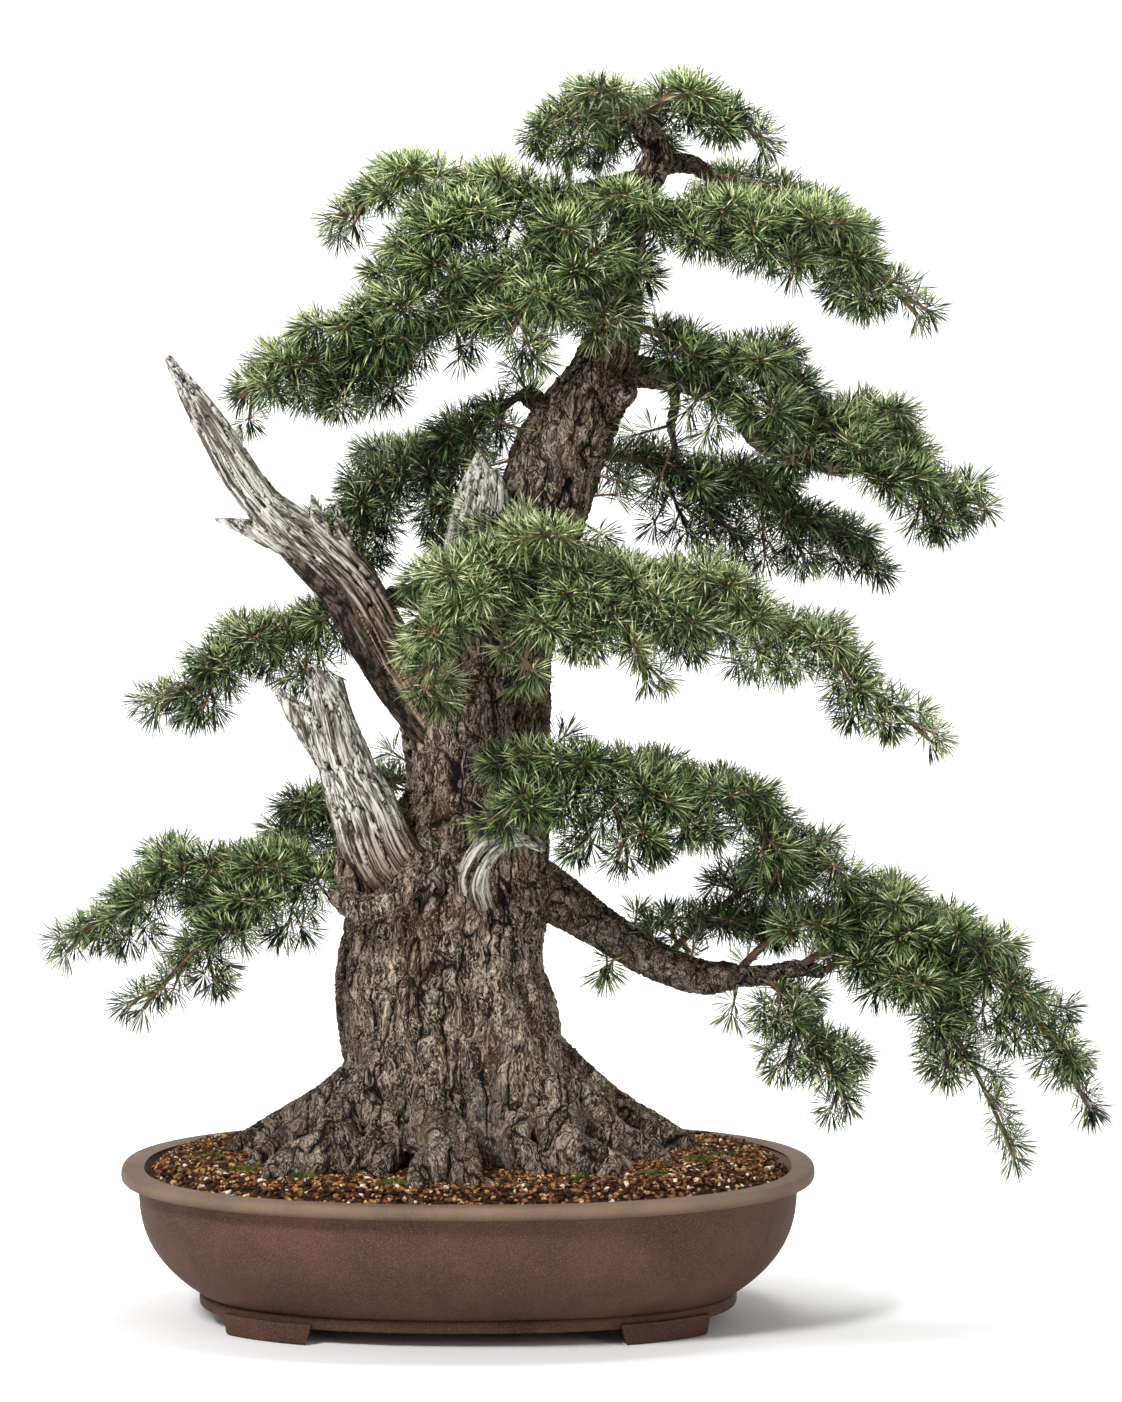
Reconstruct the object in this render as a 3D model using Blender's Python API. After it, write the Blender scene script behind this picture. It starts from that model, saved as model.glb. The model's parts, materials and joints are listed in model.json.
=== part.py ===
"""A deodar cedar bonsai in an oval pot of unglazed stoneware, at its real size.

Metres, +Z up, with the front towards -Y. Every size and place below is measured from the floor
under the middle of the pot. The whole object is parented to one empty, whose place brings the
origin under the middle of the object's box.
"""

import math
import random

import bmesh
import bpy
from mathutils import Matrix, Vector
from mathutils.bvhtree import BVHTree

POT_PLACE = Vector((-0.087, 0.0, 0.0))
GAP = 0.0003  # between solids that rest on or grow out of each other
TRUNK_GAP = 1.4 * GAP  # by which each corner of the trunk moves out, to leave the gap on its faces
SEED = 11

# The pot: an oval bowl under a flat rim, on a low band with four feet
POT_SIDES = 36
RIM_LENGTH = 0.560
RIM_WIDTH = 0.407
OVAL_POWER = 2.3  # 2 would make it an ellipse
RIM_TOP = 0.1245
LIP_BOTTOM = 0.1136
LIP_ROUNDING = 0.002
OVERHANG = 0.014
WALL = 0.0075
BOWL_FOOT = 0.024
BAND_REVEAL = 0.0015  # between the band's top edge and the bowl
BOWL_CURVE = 0.048
BOWL_POWER = 2.8
BOWL_RINGS = 4
BAND_INSET = 0.0625
BASE_UNDERSIDE = 0.012
FLOOR_TOP = 0.026
FOOT_OUTER = (31, 59.5)  # degrees round the oval, from its long axis
FOOT_INNER = (31, 54)
FOOT_LEAN = 1.5  # how much shorter a foot is where it stands, in degrees at each end
FOOT_INSETS = (0.058, 0.088)
FOOT_SINK = 0.005
FOOT_STEPS = 4

# The soil comes up to the rim and is mounded inside it
SOIL_EDGE = 0.120
SOIL_TOP = 0.132
SOIL_SHOULDER = 0.026

# The trunk, from the soil to its tip: x, y, z and half its width
TRUNK_LINE = (
    (0.000, 0.000, 0.110, 0.110),
    (0.000, 0.000, 0.140, 0.104),
    (-0.001, 0.000, 0.172, 0.099),
    (-0.004, 0.000, 0.205, 0.093),
    (-0.0135, 0.002, 0.240, 0.0865),
    (-0.020, 0.004, 0.270, 0.083),
    (-0.018, 0.006, 0.305, 0.0785),
    (-0.012, 0.008, 0.345, 0.079),
    (0.001, 0.010, 0.385, 0.067),
    (0.009, 0.011, 0.425, 0.056),
    (0.008, 0.012, 0.470, 0.058),
    (0.006, 0.012, 0.515, 0.061),
    (0.018, 0.010, 0.560, 0.054),
    (0.040, 0.008, 0.613, 0.043),
    (0.062, 0.006, 0.662, 0.037),
    (0.076, 0.004, 0.705, 0.036),
    (0.105, 0.001, 0.755, 0.028),
    (0.120, -0.002, 0.805, 0.020),
    (0.124, -0.004, 0.855, 0.016),
    (0.134, -0.006, 0.900, 0.014),
    (0.152, -0.008, 0.935, 0.012),
    (0.141, -0.010, 0.957, 0.010),
    (0.133, -0.012, 0.972, 0.007),
)
TRUNK_SIDES = 28
TRUNK_DEPTH = 0.90  # front to back, as a share of its width
FLUTES = 5
FLUTE_DEPTH = 0.05
FLUTE_TURN = 0.09  # from each ring to the next
FLUTE_RINGS = 26  # over which the flutes fade out
LEAST_FLUTE = 0.25
RIDGES = 14  # of bark, with furrows between, half as many as the trunk has sides
RIDGE_DEPTH = 0.03
RIDGE_SWAY = 0.07
RIDGE_WAVE = 0.9

# Surface roots: where each one's tip goes into the soil, and its radius where it leaves the trunk
ROOTS = (
    (-0.192, 0.018, 0.023),
    (-0.152, -0.114, 0.027),
    (-0.096, -0.094, 0.022),
    (-0.030, -0.150, 0.029),
    (0.056, -0.096, 0.022),
    (0.112, -0.108, 0.027),
    (0.160, -0.040, 0.020),
    (0.180, 0.030, 0.024),
    (0.116, 0.104, 0.026),
    (0.048, 0.134, 0.026),
    (-0.050, 0.136, 0.027),
    (-0.120, 0.104, 0.026),
)
ROOT_SIDES = 6
# Each root's points: share of the way out, height, thickness, and share of its radius to one side
ROOT_SHAPE = (
    (0.30, 0.214, 1.02, 0.0),
    (0.55, 0.173, 1.08, 0.5),
    (0.75, 0.149, 1.00, -0.3),
    (0.90, 0.136, 0.84, 0.3),
    (1.00, 0.126, 0.60, 0.0),
)

# Dead wood, each piece as limbs fused together: x, y, z and radius of each limb's points
DEADWOOD = {
    "dead_bough": (
        (
            (0.000, 0.000, 0.450, 0.024), (-0.049, -0.010, 0.516, 0.025),
            (-0.071, -0.020, 0.552, 0.0245), (-0.094, -0.030, 0.594, 0.024),
            (-0.127, -0.036, 0.628, 0.021), (-0.160, -0.040, 0.659, 0.016),
        ),
        (
            (-0.128, -0.040, 0.624, 0.012), (-0.167, -0.042, 0.640, 0.008),
            (-0.201, -0.042, 0.650, 0.001),
        ),
        (
            (-0.114, -0.038, 0.630, 0.010), (-0.118, -0.044, 0.650, 0.006),
            (-0.123, -0.044, 0.670, 0.001),
        ),
        (
            (-0.094, -0.034, 0.616, 0.009), (-0.100, -0.038, 0.644, 0.005),
            (-0.104, -0.038, 0.664, 0.001),
        ),
    ),
    "dead_stump": (
        (
            (-0.030, -0.020, 0.340, 0.026), (-0.067, -0.050, 0.382, 0.029),
            (-0.083, -0.058, 0.422, 0.027), (-0.099, -0.060, 0.457, 0.020),
        ),
        (
            (-0.091, -0.060, 0.442, 0.018), (-0.113, -0.062, 0.471, 0.014),
            (-0.133, -0.062, 0.495, 0.010), (-0.150, -0.062, 0.515, 0.003),
        ),
        (
            (-0.085, -0.060, 0.437, 0.019), (-0.101, -0.060, 0.481, 0.016),
            (-0.112, -0.060, 0.509, 0.013), (-0.123, -0.060, 0.535, 0.004),
        ),
        (
            (-0.091, -0.057, 0.449, 0.015), (-0.102, -0.057, 0.493, 0.012),
            (-0.101, -0.058, 0.524, 0.003),
        ),
    ),
    "dead_spire": (
        (
            (0.026, -0.010, 0.545, 0.018), (0.004, -0.034, 0.598, 0.022),
            (0.008, -0.036, 0.645, 0.022), (0.010, -0.033, 0.680, 0.013),
            (0.011, -0.030, 0.703, 0.002),
        ),
        (
            (0.000, -0.034, 0.604, 0.015), (-0.018, -0.042, 0.580, 0.012),
            (-0.037, -0.044, 0.566, 0.006),
        ),
        ((0.012, -0.036, 0.630, 0.014), (0.024, -0.040, 0.668, 0.009), (0.022, -0.038, 0.690, 0.002)),
    ),
    "dead_stub": (
        (
            (0.010, -0.050, 0.345, 0.011), (0.006, -0.086, 0.372, 0.012),
            (0.020, -0.094, 0.396, 0.011), (0.044, -0.092, 0.402, 0.008),
            (0.062, -0.084, 0.390, 0.003),
        ),
    ),
}
DEADWOOD_SIDES = 6
SPLINTER_SIDES = 5

# Limbs that go on from another limb's tip after a bend: x, y, z and radius
DEAD_BOUGH_TIP = (
    (-0.160, -0.040, 0.659, 0.015), (-0.180, -0.040, 0.686, 0.015), (-0.199, -0.040, 0.718, 0.013),
    (-0.214, -0.040, 0.742, 0.0105), (-0.238, -0.040, 0.780, 0.0022),
)
DEAD_BOUGH_SNAG = (
    (-0.182, -0.040, 0.693, 0.008), (-0.182, -0.040, 0.710, 0.005), (-0.178, -0.040, 0.726, 0.001),
)

# Living boughs, each starting inside what carries it: x, y, z and radius
BOUGHS = {
    "bough_lower_right": (
        (0.020, 0.000, 0.368, 0.026), (0.061, 0.000, 0.347, 0.023), (0.106, -0.010, 0.319, 0.0175),
        (0.146, -0.020, 0.295, 0.016), (0.186, -0.030, 0.281, 0.0145), (0.214, -0.034, 0.282, 0.0115),
    ),
    "bough_lower_left": (
        (-0.050, 0.000, 0.374, 0.020), (-0.096, -0.010, 0.366, 0.014), (-0.118, -0.016, 0.370, 0.0105),
    ),
    "bough_arch_right": (
        (0.020, -0.010, 0.415, 0.015), (0.062, -0.048, 0.436, 0.013), (0.098, -0.076, 0.459, 0.009),
    ),
    "bough_centre_front": (
        (0.040, 0.000, 0.595, 0.018), (0.062, -0.052, 0.612, 0.014), (0.084, -0.082, 0.617, 0.010),
    ),
    "bough_right_mid": (
        (0.100, 0.000, 0.770, 0.015), (0.141, -0.002, 0.764, 0.013), (0.182, -0.006, 0.757, 0.012),
        (0.217, -0.012, 0.736, 0.011), (0.240, -0.020, 0.708, 0.010), (0.304, -0.030, 0.687, 0.007),
    ),
    "bough_right_low": (
        (0.076, 0.006, 0.706, 0.012), (0.092, 0.018, 0.702, 0.010), (0.106, 0.026, 0.696, 0.008),
    ),
    "bough_mid_left": (
        (0.122, -0.003, 0.845, 0.012), (0.094, -0.012, 0.833, 0.010), (0.030, -0.022, 0.822, 0.009),
        (-0.034, -0.032, 0.797, 0.007),
    ),
    "bough_left_back": (
        (0.076, 0.006, 0.716, 0.012), (0.060, 0.030, 0.734, 0.010), (0.046, 0.044, 0.746, 0.008),
    ),
    "bough_left_lower": (
        (0.012, 0.015, 0.560, 0.014), (-0.036, 0.044, 0.578, 0.011), (-0.066, 0.052, 0.580, 0.009),
    ),
    "bough_upper_left": (
        (0.142, -0.008, 0.918, 0.009), (0.106, -0.004, 0.911, 0.008), (0.068, -0.006, 0.902, 0.006),
    ),
    "bough_upper_right": (
        (0.148, -0.006, 0.928, 0.009), (0.176, 0.012, 0.930, 0.008), (0.198, 0.024, 0.918, 0.006),
    ),
    "bough_upper_front": (
        (0.130, -0.006, 0.887, 0.010), (0.142, -0.030, 0.896, 0.008), (0.160, -0.044, 0.897, 0.006),
    ),
    "bough_back_low": (
        (-0.002, 0.020, 0.412, 0.017), (-0.020, 0.080, 0.424, 0.013), (-0.036, 0.112, 0.426, 0.009),
    ),
    "bough_back_right": (
        (0.012, 0.020, 0.556, 0.016), (0.050, 0.068, 0.572, 0.012), (0.082, 0.094, 0.578, 0.008),
    ),
    "bough_back_mid": (
        (0.050, 0.010, 0.632, 0.014), (0.046, 0.058, 0.646, 0.010), (0.044, 0.086, 0.650, 0.007),
    ),
}
BOUGH_LOWER_RIGHT_END = (
    (0.214, -0.034, 0.282, 0.0095), (0.238, -0.038, 0.283, 0.0085), (0.264, -0.040, 0.289, 0.007),
    (0.286, -0.040, 0.286, 0.006),
)
BOUGH_SIDES = 6
COLLAR = 0.006  # how far a limb keeps the direction of the one that it grows on from

# Masses of foliage: the limb that carries each, how far along it, the tip of its stem, how high
# the stem arches over the straight line, and how far its twigs spread
MASSES = {
    "foliage_apex_left": ("trunk", 1, (0.056, -0.030, 0.948), 0.022, 0.041),
    "foliage_apex_right": ("trunk", 0.975, (0.234, -0.026, 0.944), 0.030, 0.034),
    "foliage_apex_back": ("trunk", 0.965, (0.128, 0.100, 0.950), 0.016, 0.036),
    "foliage_crown_front": ("bough_upper_front", 0.5, (0.064, -0.086, 0.864), 0.016, 0.052),
    "foliage_crown_right": ("trunk", 0.83, (0.232, -0.092, 0.876), 0.020, 0.034),
    "foliage_upper_right_front": ("bough_upper_front", 1, (0.356, -0.062, 0.812), 0.034, 0.052),
    "foliage_upper_right_back": ("bough_upper_right", 1, (0.318, 0.076, 0.842), 0.020, 0.052),
    "foliage_upper_left_top": ("bough_upper_left", 1, (-0.106, 0.004, 0.886), 0.028, 0.040),
    "foliage_upper_left_low": ("bough_upper_left", 0.75, (-0.050, -0.066, 0.864), 0.014, 0.048),
    "foliage_mid_left_top": ("bough_mid_left", 0.4, (-0.106, -0.080, 0.798), 0.024, 0.054),
    "foliage_mid_left": ("bough_mid_left", 1, (-0.178, -0.046, 0.747), 0.008, 0.048),
    "foliage_mid_left_low": ("bough_mid_left", 0.92, (-0.108, -0.026, 0.750), -0.004, 0.028),
    "foliage_mid_centre": ("trunk", 0.795, (0.036, -0.122, 0.800), 0.034, 0.054),
    "foliage_right_top": ("trunk", 0.775, (0.330, -0.068, 0.688), 0.016, 0.056),
    "foliage_right_outer": ("bough_right_mid", 1, (0.398, -0.040, 0.656), 0.016, 0.050),
    "foliage_right_outer_top": ("bough_right_mid", 0.72, (0.368, 0.018, 0.696), 0.024, 0.044),
    "foliage_right_low": ("bough_right_low", 1, (0.320, 0.088, 0.606), 0.018, 0.062),
    "foliage_left_back": ("bough_left_back", 1, (-0.118, 0.074, 0.628), 0.001, 0.064),
    "foliage_front_left": ("bough_centre_front", 1, (-0.038, -0.112, 0.524), 0.060, 0.060),
    "foliage_front_right": ("bough_centre_front", 0.85, (0.366, -0.090, 0.478), 0.034, 0.050),
    "foliage_front_hang": ("bough_centre_front", 0.93, (0.142, -0.136, 0.530), 0.026, 0.036),
    "foliage_left_lower": ("bough_left_lower", 1, (-0.254, 0.050, 0.486), 0.017, 0.050),
    "foliage_arch_right": ("bough_arch_right", 1, (0.296, -0.092, 0.366), 0.020, 0.056),
    "foliage_arch_left": ("bough_arch_right", 0.86, (0.034, -0.124, 0.414), 0.030, 0.048),
    "foliage_arch_low": ("bough_arch_right", 0.94, (0.128, -0.142, 0.394), 0.016, 0.044),
    "foliage_lower_right_top": ("bough_lower_right_end", 0, (0.392, -0.050, 0.292), 0.052, 0.056),
    "foliage_lower_right_outer": ("bough_lower_right_end", 1, (0.498, -0.022, 0.176), 0.076, 0.056),
    "foliage_lower_right_hang": ("bough_lower_right_end", 0.3, (0.302, -0.080, 0.188), 0.016, 0.038),
    "foliage_lower_right_fall": ("bough_lower_right_end", 0.66, (0.434, -0.096, 0.146), 0.072, 0.044),
    "foliage_lower_right_inner": ("bough_lower_right", 0.66, (0.262, 0.050, 0.352), 0.014, 0.046),
    "foliage_lower_left": ("bough_lower_left", 1, (-0.322, -0.026, 0.300), 0.034, 0.050),
    "foliage_lower_left_hang": ("bough_lower_left", 0.45, (-0.256, -0.090, 0.264), 0.026, 0.042),
    "foliage_back_low": ("bough_back_low", 1, (-0.160, 0.150, 0.360), 0.016, 0.054),
    "foliage_back_right": ("bough_back_right", 1, (0.200, 0.146, 0.546), 0.018, 0.056),
    "foliage_back_mid": ("bough_back_mid", 1, (0.000, 0.172, 0.594), 0.026, 0.052),
    "foliage_back_high": ("trunk", 0.8, (0.070, 0.142, 0.806), 0.024, 0.050),
}
NEEDLE = 0.026
LAST_NEEDLE = 0.020  # the one that goes on from a twig's tip
NEEDLE_LEAN = math.radians(38)  # forward from square to the twig
NEEDLE_STEP = 0.031  # length of twig to each whorl of needles
NEEDLE_SPREAD = (0.80, 1.08)  # shortest and longest, as shares of a needle
NEEDLE_CHANCE = 0.70  # that a face of the twig has one
STEM_RADIUS = 0.0040
TWIG_RADIUS = 0.0024
TWIG_PITCH = 0.037  # along the stem
TWIG_END = 0.55  # radius at the tip, as a share of that at the root
TWIG_SIDES = 3
TWIG_TWIST = math.radians(38)
TWIG_SWEEP = math.radians(52)  # from the stem's own direction
TWIG_TILTS = tuple(math.radians(a) for a in (6, 2, -40, -30, 26, 32))  # up or down from level
TWIG_DROOP = 0.16
BARE_STEM = 0.05  # share of a stem that has no twigs
BALD_STEM = 0.30  # share of a stem that has no needles
BALD_TWIG = 0.20  # and of a twig
ATTEMPTS = 8  # rounds of leaving out needles that touch something
SHORTER = 0.68  # what a twig is cut back to when it would touch something
FINE_STEPS = 400  # points tried along a stem for where its foot comes clear of its limb
RAY_AIM = Vector((0.31, 0.17, 0.93)).normalized()
RAY_STEP = 1e-6


def material(name, colour, roughness):
    """A plain finish in the part's own colour."""
    made = bpy.data.materials.new(name)
    made.use_nodes = True
    shader = made.node_tree.nodes["Principled BSDF"]
    shader.inputs["Base Color"].default_value = (*colour, 1)
    shader.inputs["Roughness"].default_value = roughness
    shader.inputs["Metallic"].default_value = 0
    return made


def clear_scene():
    for obj in list(bpy.data.objects):
        bpy.data.objects.remove(obj)


def collection(name):
    made = bpy.data.collections.new(name)
    bpy.context.scene.collection.children.link(made)
    return made


def mesh_object(name, bm, where, finish=None):
    """Turns a bmesh into an object of its own in a collection."""
    mesh = bpy.data.meshes.new(name)
    bm.to_mesh(mesh)
    bm.free()
    obj = bpy.data.objects.new(name, mesh)
    where.objects.link(obj)
    if finish:
        mesh.materials.append(finish)
    return obj


def shade_round(obj):
    obj.data.shade_smooth()
    obj.data.set_sharp_from_angle(angle=math.radians(40))


def apply_modifiers(obj):
    """Puts the evaluated mesh in place of the object's own and drops the modifiers."""
    bpy.context.view_layer.update()
    evaluated = obj.evaluated_get(bpy.context.evaluated_depsgraph_get())
    mesh = bpy.data.meshes.new_from_object(evaluated)
    obj.modifiers.clear()
    obj.data = mesh


def boolean(obj, operation, other, solver="MANIFOLD"):
    """Joins or cuts an object with another object, or with all of a collection."""
    modifier = obj.modifiers.new(operation.lower(), "BOOLEAN")
    modifier.operation = operation
    modifier.solver = solver
    if isinstance(other, bpy.types.Collection):
        modifier.operand_type = "COLLECTION"
        modifier.collection = other
    else:
        modifier.object = other
    apply_modifiers(obj)


def keep_main_body(obj):
    """Leaves the largest closed surface: a scrap that came loose or a sealed hollow goes."""
    bm = bmesh.new()
    bm.from_mesh(obj.data)
    left = set(bm.verts)
    bodies = []
    while left:
        body = set()
        front = {left.pop()}
        while front:
            body |= front
            front = {link.other_vert(vert) for vert in front for link in vert.link_edges} - body
        left -= body
        bodies.append(body)
    main = max(bodies, key=len)
    bmesh.ops.delete(bm, geom=[v for v in bm.verts if v not in main], context="VERTS")
    bm.to_mesh(obj.data)
    bm.free()


def oval_point(inset, angle, height):
    """A point on the oval that lies inset from the rim's outer edge."""
    across, aside = (
        math.copysign(abs(share) ** (2 / OVAL_POWER), share) for share in (math.cos(angle), math.sin(angle))
    )
    return Vector(((RIM_LENGTH / 2 - inset) * across, (RIM_WIDTH / 2 - inset) * aside, height))


def oval_ring(inset, height):
    return [oval_point(inset, 2 * math.pi * i / POT_SIDES, height) for i in range(POT_SIDES)]


def loft(rings):
    """A closed bmesh through rings with equal numbers of points, the first one facing down."""
    bm = bmesh.new()
    loops = [[bm.verts.new(point) for point in ring] for ring in rings]
    for low, high in zip(loops, loops[1:]):
        for i in range(len(low)):
            j = (i + 1) % len(low)
            bm.faces.new((low[i], low[j], high[j], high[i]))
    bm.faces.new(reversed(loops[0]))
    bm.faces.new(loops[-1])
    return bm


def bowl_inset(height):
    """How far the bowl's outer wall stands in from the rim's edge."""
    rise = min((height - BOWL_FOOT) / (LIP_BOTTOM - BOWL_FOOT), 1)
    return OVERHANG + BOWL_CURVE * (1 - rise) ** BOWL_POWER


def heights(low, high, count):
    return [low + (high - low) * i / (count - 1) for i in range(count)]


def foot(side, end):
    """A block that follows the base in one quarter of the oval, a little shorter where it stands."""
    rings = []
    for height, lean in ((0, FOOT_LEAN), (BASE_UNDERSIDE + FOOT_SINK, 0)):
        ring = []
        for (first, last), inset in zip((FOOT_OUTER, FOOT_INNER), FOOT_INSETS):
            angles = heights(first + lean, last - lean, FOOT_STEPS)
            edge = [oval_point(inset, math.radians(a), height) for a in angles]
            ring += edge if inset == FOOT_INSETS[0] else reversed(edge)
        ring = [Vector((point.x * end, point.y * side, point.z)) for point in ring]
        rings.append(ring if side * end > 0 else ring[::-1])
    return loft(rings)


def make_pot(parts, helpers, finish):
    outer = [(BAND_INSET, BASE_UNDERSIDE), (BAND_INSET, BOWL_FOOT - BAND_REVEAL)]
    outer += [(bowl_inset(h), h) for h in heights(BOWL_FOOT, LIP_BOTTOM, BOWL_RINGS)]
    lip = [(0, LIP_BOTTOM + LIP_ROUNDING), (0, RIM_TOP - LIP_ROUNDING), (LIP_ROUNDING, RIM_TOP)]
    inner = [(OVERHANG + WALL, RIM_TOP)]
    inner += [(bowl_inset(h) + WALL, h) for h in heights(LIP_BOTTOM, FLOOR_TOP, BOWL_RINGS)]
    pot = mesh_object("pot", loft([oval_ring(*place) for place in outer + lip + inner]), parts, finish)
    feet = [mesh_object("foot", foot(side, end), helpers) for side in (-1, 1) for end in (-1, 1)]
    boolean(pot, "UNION", helpers)
    for piece in feet:
        bpy.data.objects.remove(piece)
    shade_round(pot)
    return pot


def make_soil(parts, finish):
    """Earth up to the bowl's inner wall, flat under the trunk and a little lower at its edge."""
    levels = heights(FLOOR_TOP, LIP_BOTTOM, BOWL_RINGS)
    inset = WALL + 1.5 * GAP
    rings = [oval_ring(bowl_inset(h) + inset, max(h, FLOOR_TOP + GAP)) for h in levels]
    rings.append(oval_ring(OVERHANG + inset, SOIL_EDGE))
    rings.append(oval_ring(OVERHANG + inset + SOIL_SHOULDER, SOIL_TOP))
    soil = mesh_object("soil", loft(rings), parts, finish)
    shade_round(soil)
    return soil


def smooth(line, steps):
    """Points and radii on a curve through the given ones, with so many steps to each stretch."""
    rows = [Vector(row) for row in line]
    rows = [2 * rows[0] - rows[1], *rows, 2 * rows[-1] - rows[-2]]
    found = []
    for a, b, c, d in zip(rows, rows[1:], rows[2:], rows[3:]):
        for step in range(steps):
            t = step / steps
            bend_in = 2 * a - 5 * b + 4 * c - d
            bend_out = 3 * (b - c) + d - a
            found.append(b + 0.5 * t * ((c - a) + t * (bend_in + t * bend_out)))
    found.append(rows[-2])
    return [Vector(row[:3]) for row in found], [row[3] for row in found]


def turns_along(path):
    """A rotation for each point that takes +Z along the path without twisting about it."""
    aims = [(b - a).normalized() for a, b in zip(path, path[1:])]
    aims = [aims[0]] + [(a + b).normalized() for a, b in zip(aims, aims[1:])] + [aims[-1]]
    turns = [Vector((0, 0, 1)).rotation_difference(aims[0])]
    for before, after in zip(aims, aims[1:]):
        turns.append(before.rotation_difference(after) @ turns[-1])
    return turns, aims


def straight_limb(radii, sides, section=None):
    """A prism up +Z with a ring at each whole number, which section may make other than round."""
    last = len(radii) - 1
    bm = bmesh.new()
    middle = Matrix.Translation((0, 0, last / 2))
    bmesh.ops.create_cone(
        bm, cap_ends=True, segments=sides, radius1=1, radius2=1, depth=last, matrix=middle
    )
    sides_up = [e for e in bm.edges if abs(e.verts[0].co.z - e.verts[1].co.z) > 0.5 * last]
    if last > 1:
        bmesh.ops.subdivide_edges(bm, edges=sides_up, cuts=last - 1, use_grid_fill=True)
    for vert in bm.verts:
        ring = round(vert.co.z)
        x, y = section(vert.co, ring) if section else vert.co.xy
        vert.co = (x * radii[ring], y * radii[ring], ring)
    return bm


def bend(bm, path):
    """Moves what stands along +Z, a ring to each whole number, so that it follows the path."""
    turns, aims = turns_along(path)
    last = len(path) - 1
    for vert in bm.verts:
        place = min(max(vert.co.z, 0), last)
        ring = min(int(place), last - 1)
        part = place - ring
        centre = path[ring].lerp(path[ring + 1], part)
        centre += aims[-1] * (max(vert.co.z - last, 0) * (path[-1] - path[-2]).length)
        vert.co = centre + turns[ring].slerp(turns[ring + 1], part) @ Vector((*vert.co.xy, 0))
    bm.normal_update()
    return bm


def limb_mesh(line, sides, steps=2, section=None):
    path, radii = smooth(line, steps)
    return bend(straight_limb(radii, sides, section), path)


def folded(bm):
    """Splits every face into triangles, so that its copies bend along the same lines."""
    bmesh.ops.triangulate(bm, faces=bm.faces)
    return bm


def trunk_section(point, ring):
    """Ridges of bark on five flutes that wind slowly up the trunk, deepest at its foot."""
    angle = math.atan2(point.y, point.x)
    depth = FLUTE_DEPTH * max(1 - ring / FLUTE_RINGS, LEAST_FLUTE)
    flutes = depth * math.cos(FLUTES * angle + FLUTE_TURN * ring)
    swell = 1 - flutes + RIDGE_DEPTH * math.cos(RIDGES * angle)
    angle += RIDGE_SWAY * math.sin(RIDGE_WAVE * ring)
    return swell * math.cos(angle), swell * math.sin(angle) * TRUNK_DEPTH


def root_mesh(x, y, radius):
    """A root that comes down out of the trunk's flare and dives into the soil at its tip."""
    out = Vector((x, y, 0))
    aside = out.cross(Vector((0, 0, 1))).normalized() * math.copysign(radius, x * y)
    line = []
    for share, height, thickness, sway in ROOT_SHAPE:
        place = out * share + aside * sway + Vector((0, 0, height))
        line.append((*place, radius * thickness))
    return limb_mesh(line, ROOT_SIDES)


def make_trunk(parts, helpers, finish):
    """The trunk with its roots, cut off flat where it meets the soil."""
    tapered = folded(limb_mesh(TRUNK_LINE, TRUNK_SIDES, 1, trunk_section))
    trunk = mesh_object("trunk", tapered, parts, finish)
    roots = [mesh_object("root", folded(root_mesh(*root)), helpers) for root in ROOTS]
    boolean(trunk, "UNION", helpers)
    for root in roots:
        bpy.data.objects.remove(root)
    below = bmesh.new()
    middle = Matrix.Translation((0, 0, SOIL_TOP + GAP - RIM_LENGTH / 2))
    bmesh.ops.create_cube(below, size=RIM_LENGTH, matrix=middle)
    cutter = mesh_object("below_soil", below, helpers)
    boolean(trunk, "DIFFERENCE", cutter)
    bpy.data.objects.remove(cutter)
    keep_main_body(trunk)
    shade_round(trunk)
    return trunk


def clearance_of(trunk, helpers):
    """The trunk grown by the gap on all sides, which cuts the foot of each limb to fit it."""
    bm = bmesh.new()
    bm.from_mesh(trunk.data)
    for vert, normal in [(v, v.normal.copy()) for v in bm.verts]:
        vert.co += normal * TRUNK_GAP
    cutter = mesh_object("trunk_clearance", bm, helpers)
    cutter.hide_render = True
    cutter.display_type = "WIRE"
    return cutter


def make_deadwood(parts, helpers, cutter, finish):
    """Each dead limb with its splinters fused on and its foot cut to the trunk."""
    made = {}
    for name, lines in DEADWOOD.items():
        piece = mesh_object(name, limb_mesh(lines[0], DEADWOOD_SIDES), parts, finish)
        splinters = [mesh_object("splinter", limb_mesh(line, SPLINTER_SIDES, 1), helpers) for line in lines[1:]]
        if splinters:
            boolean(piece, "UNION", helpers)
        for splinter in splinters:
            bpy.data.objects.remove(splinter)
        boolean(piece, "DIFFERENCE", cutter)
        keep_main_body(piece)
        made[name] = piece
    tip_line = grown_on(DEAD_BOUGH_TIP, DEADWOOD["dead_bough"][0])
    tip = mesh_object("dead_bough_tip", limb_mesh(tip_line, DEADWOOD_SIDES, 1), parts, finish)
    snag = mesh_object("splinter", limb_mesh(DEAD_BOUGH_SNAG, SPLINTER_SIDES, 1), helpers)
    boolean(tip, "UNION", helpers)
    bpy.data.objects.remove(snag)
    made["dead_bough_tip"] = tip
    return made


def grown_on(line, carrier):
    """A line that starts clear of the carrier's tip and leaves it in the carrier's own direction."""
    path, _ = smooth(carrier, 2)
    ahead = (path[-1] - path[-2]).normalized()
    start = path[-1] + 2 * GAP * ahead
    return ((*start, line[0][3]), (*(start + COLLAR * ahead), line[0][3]), *line[1:])


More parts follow.
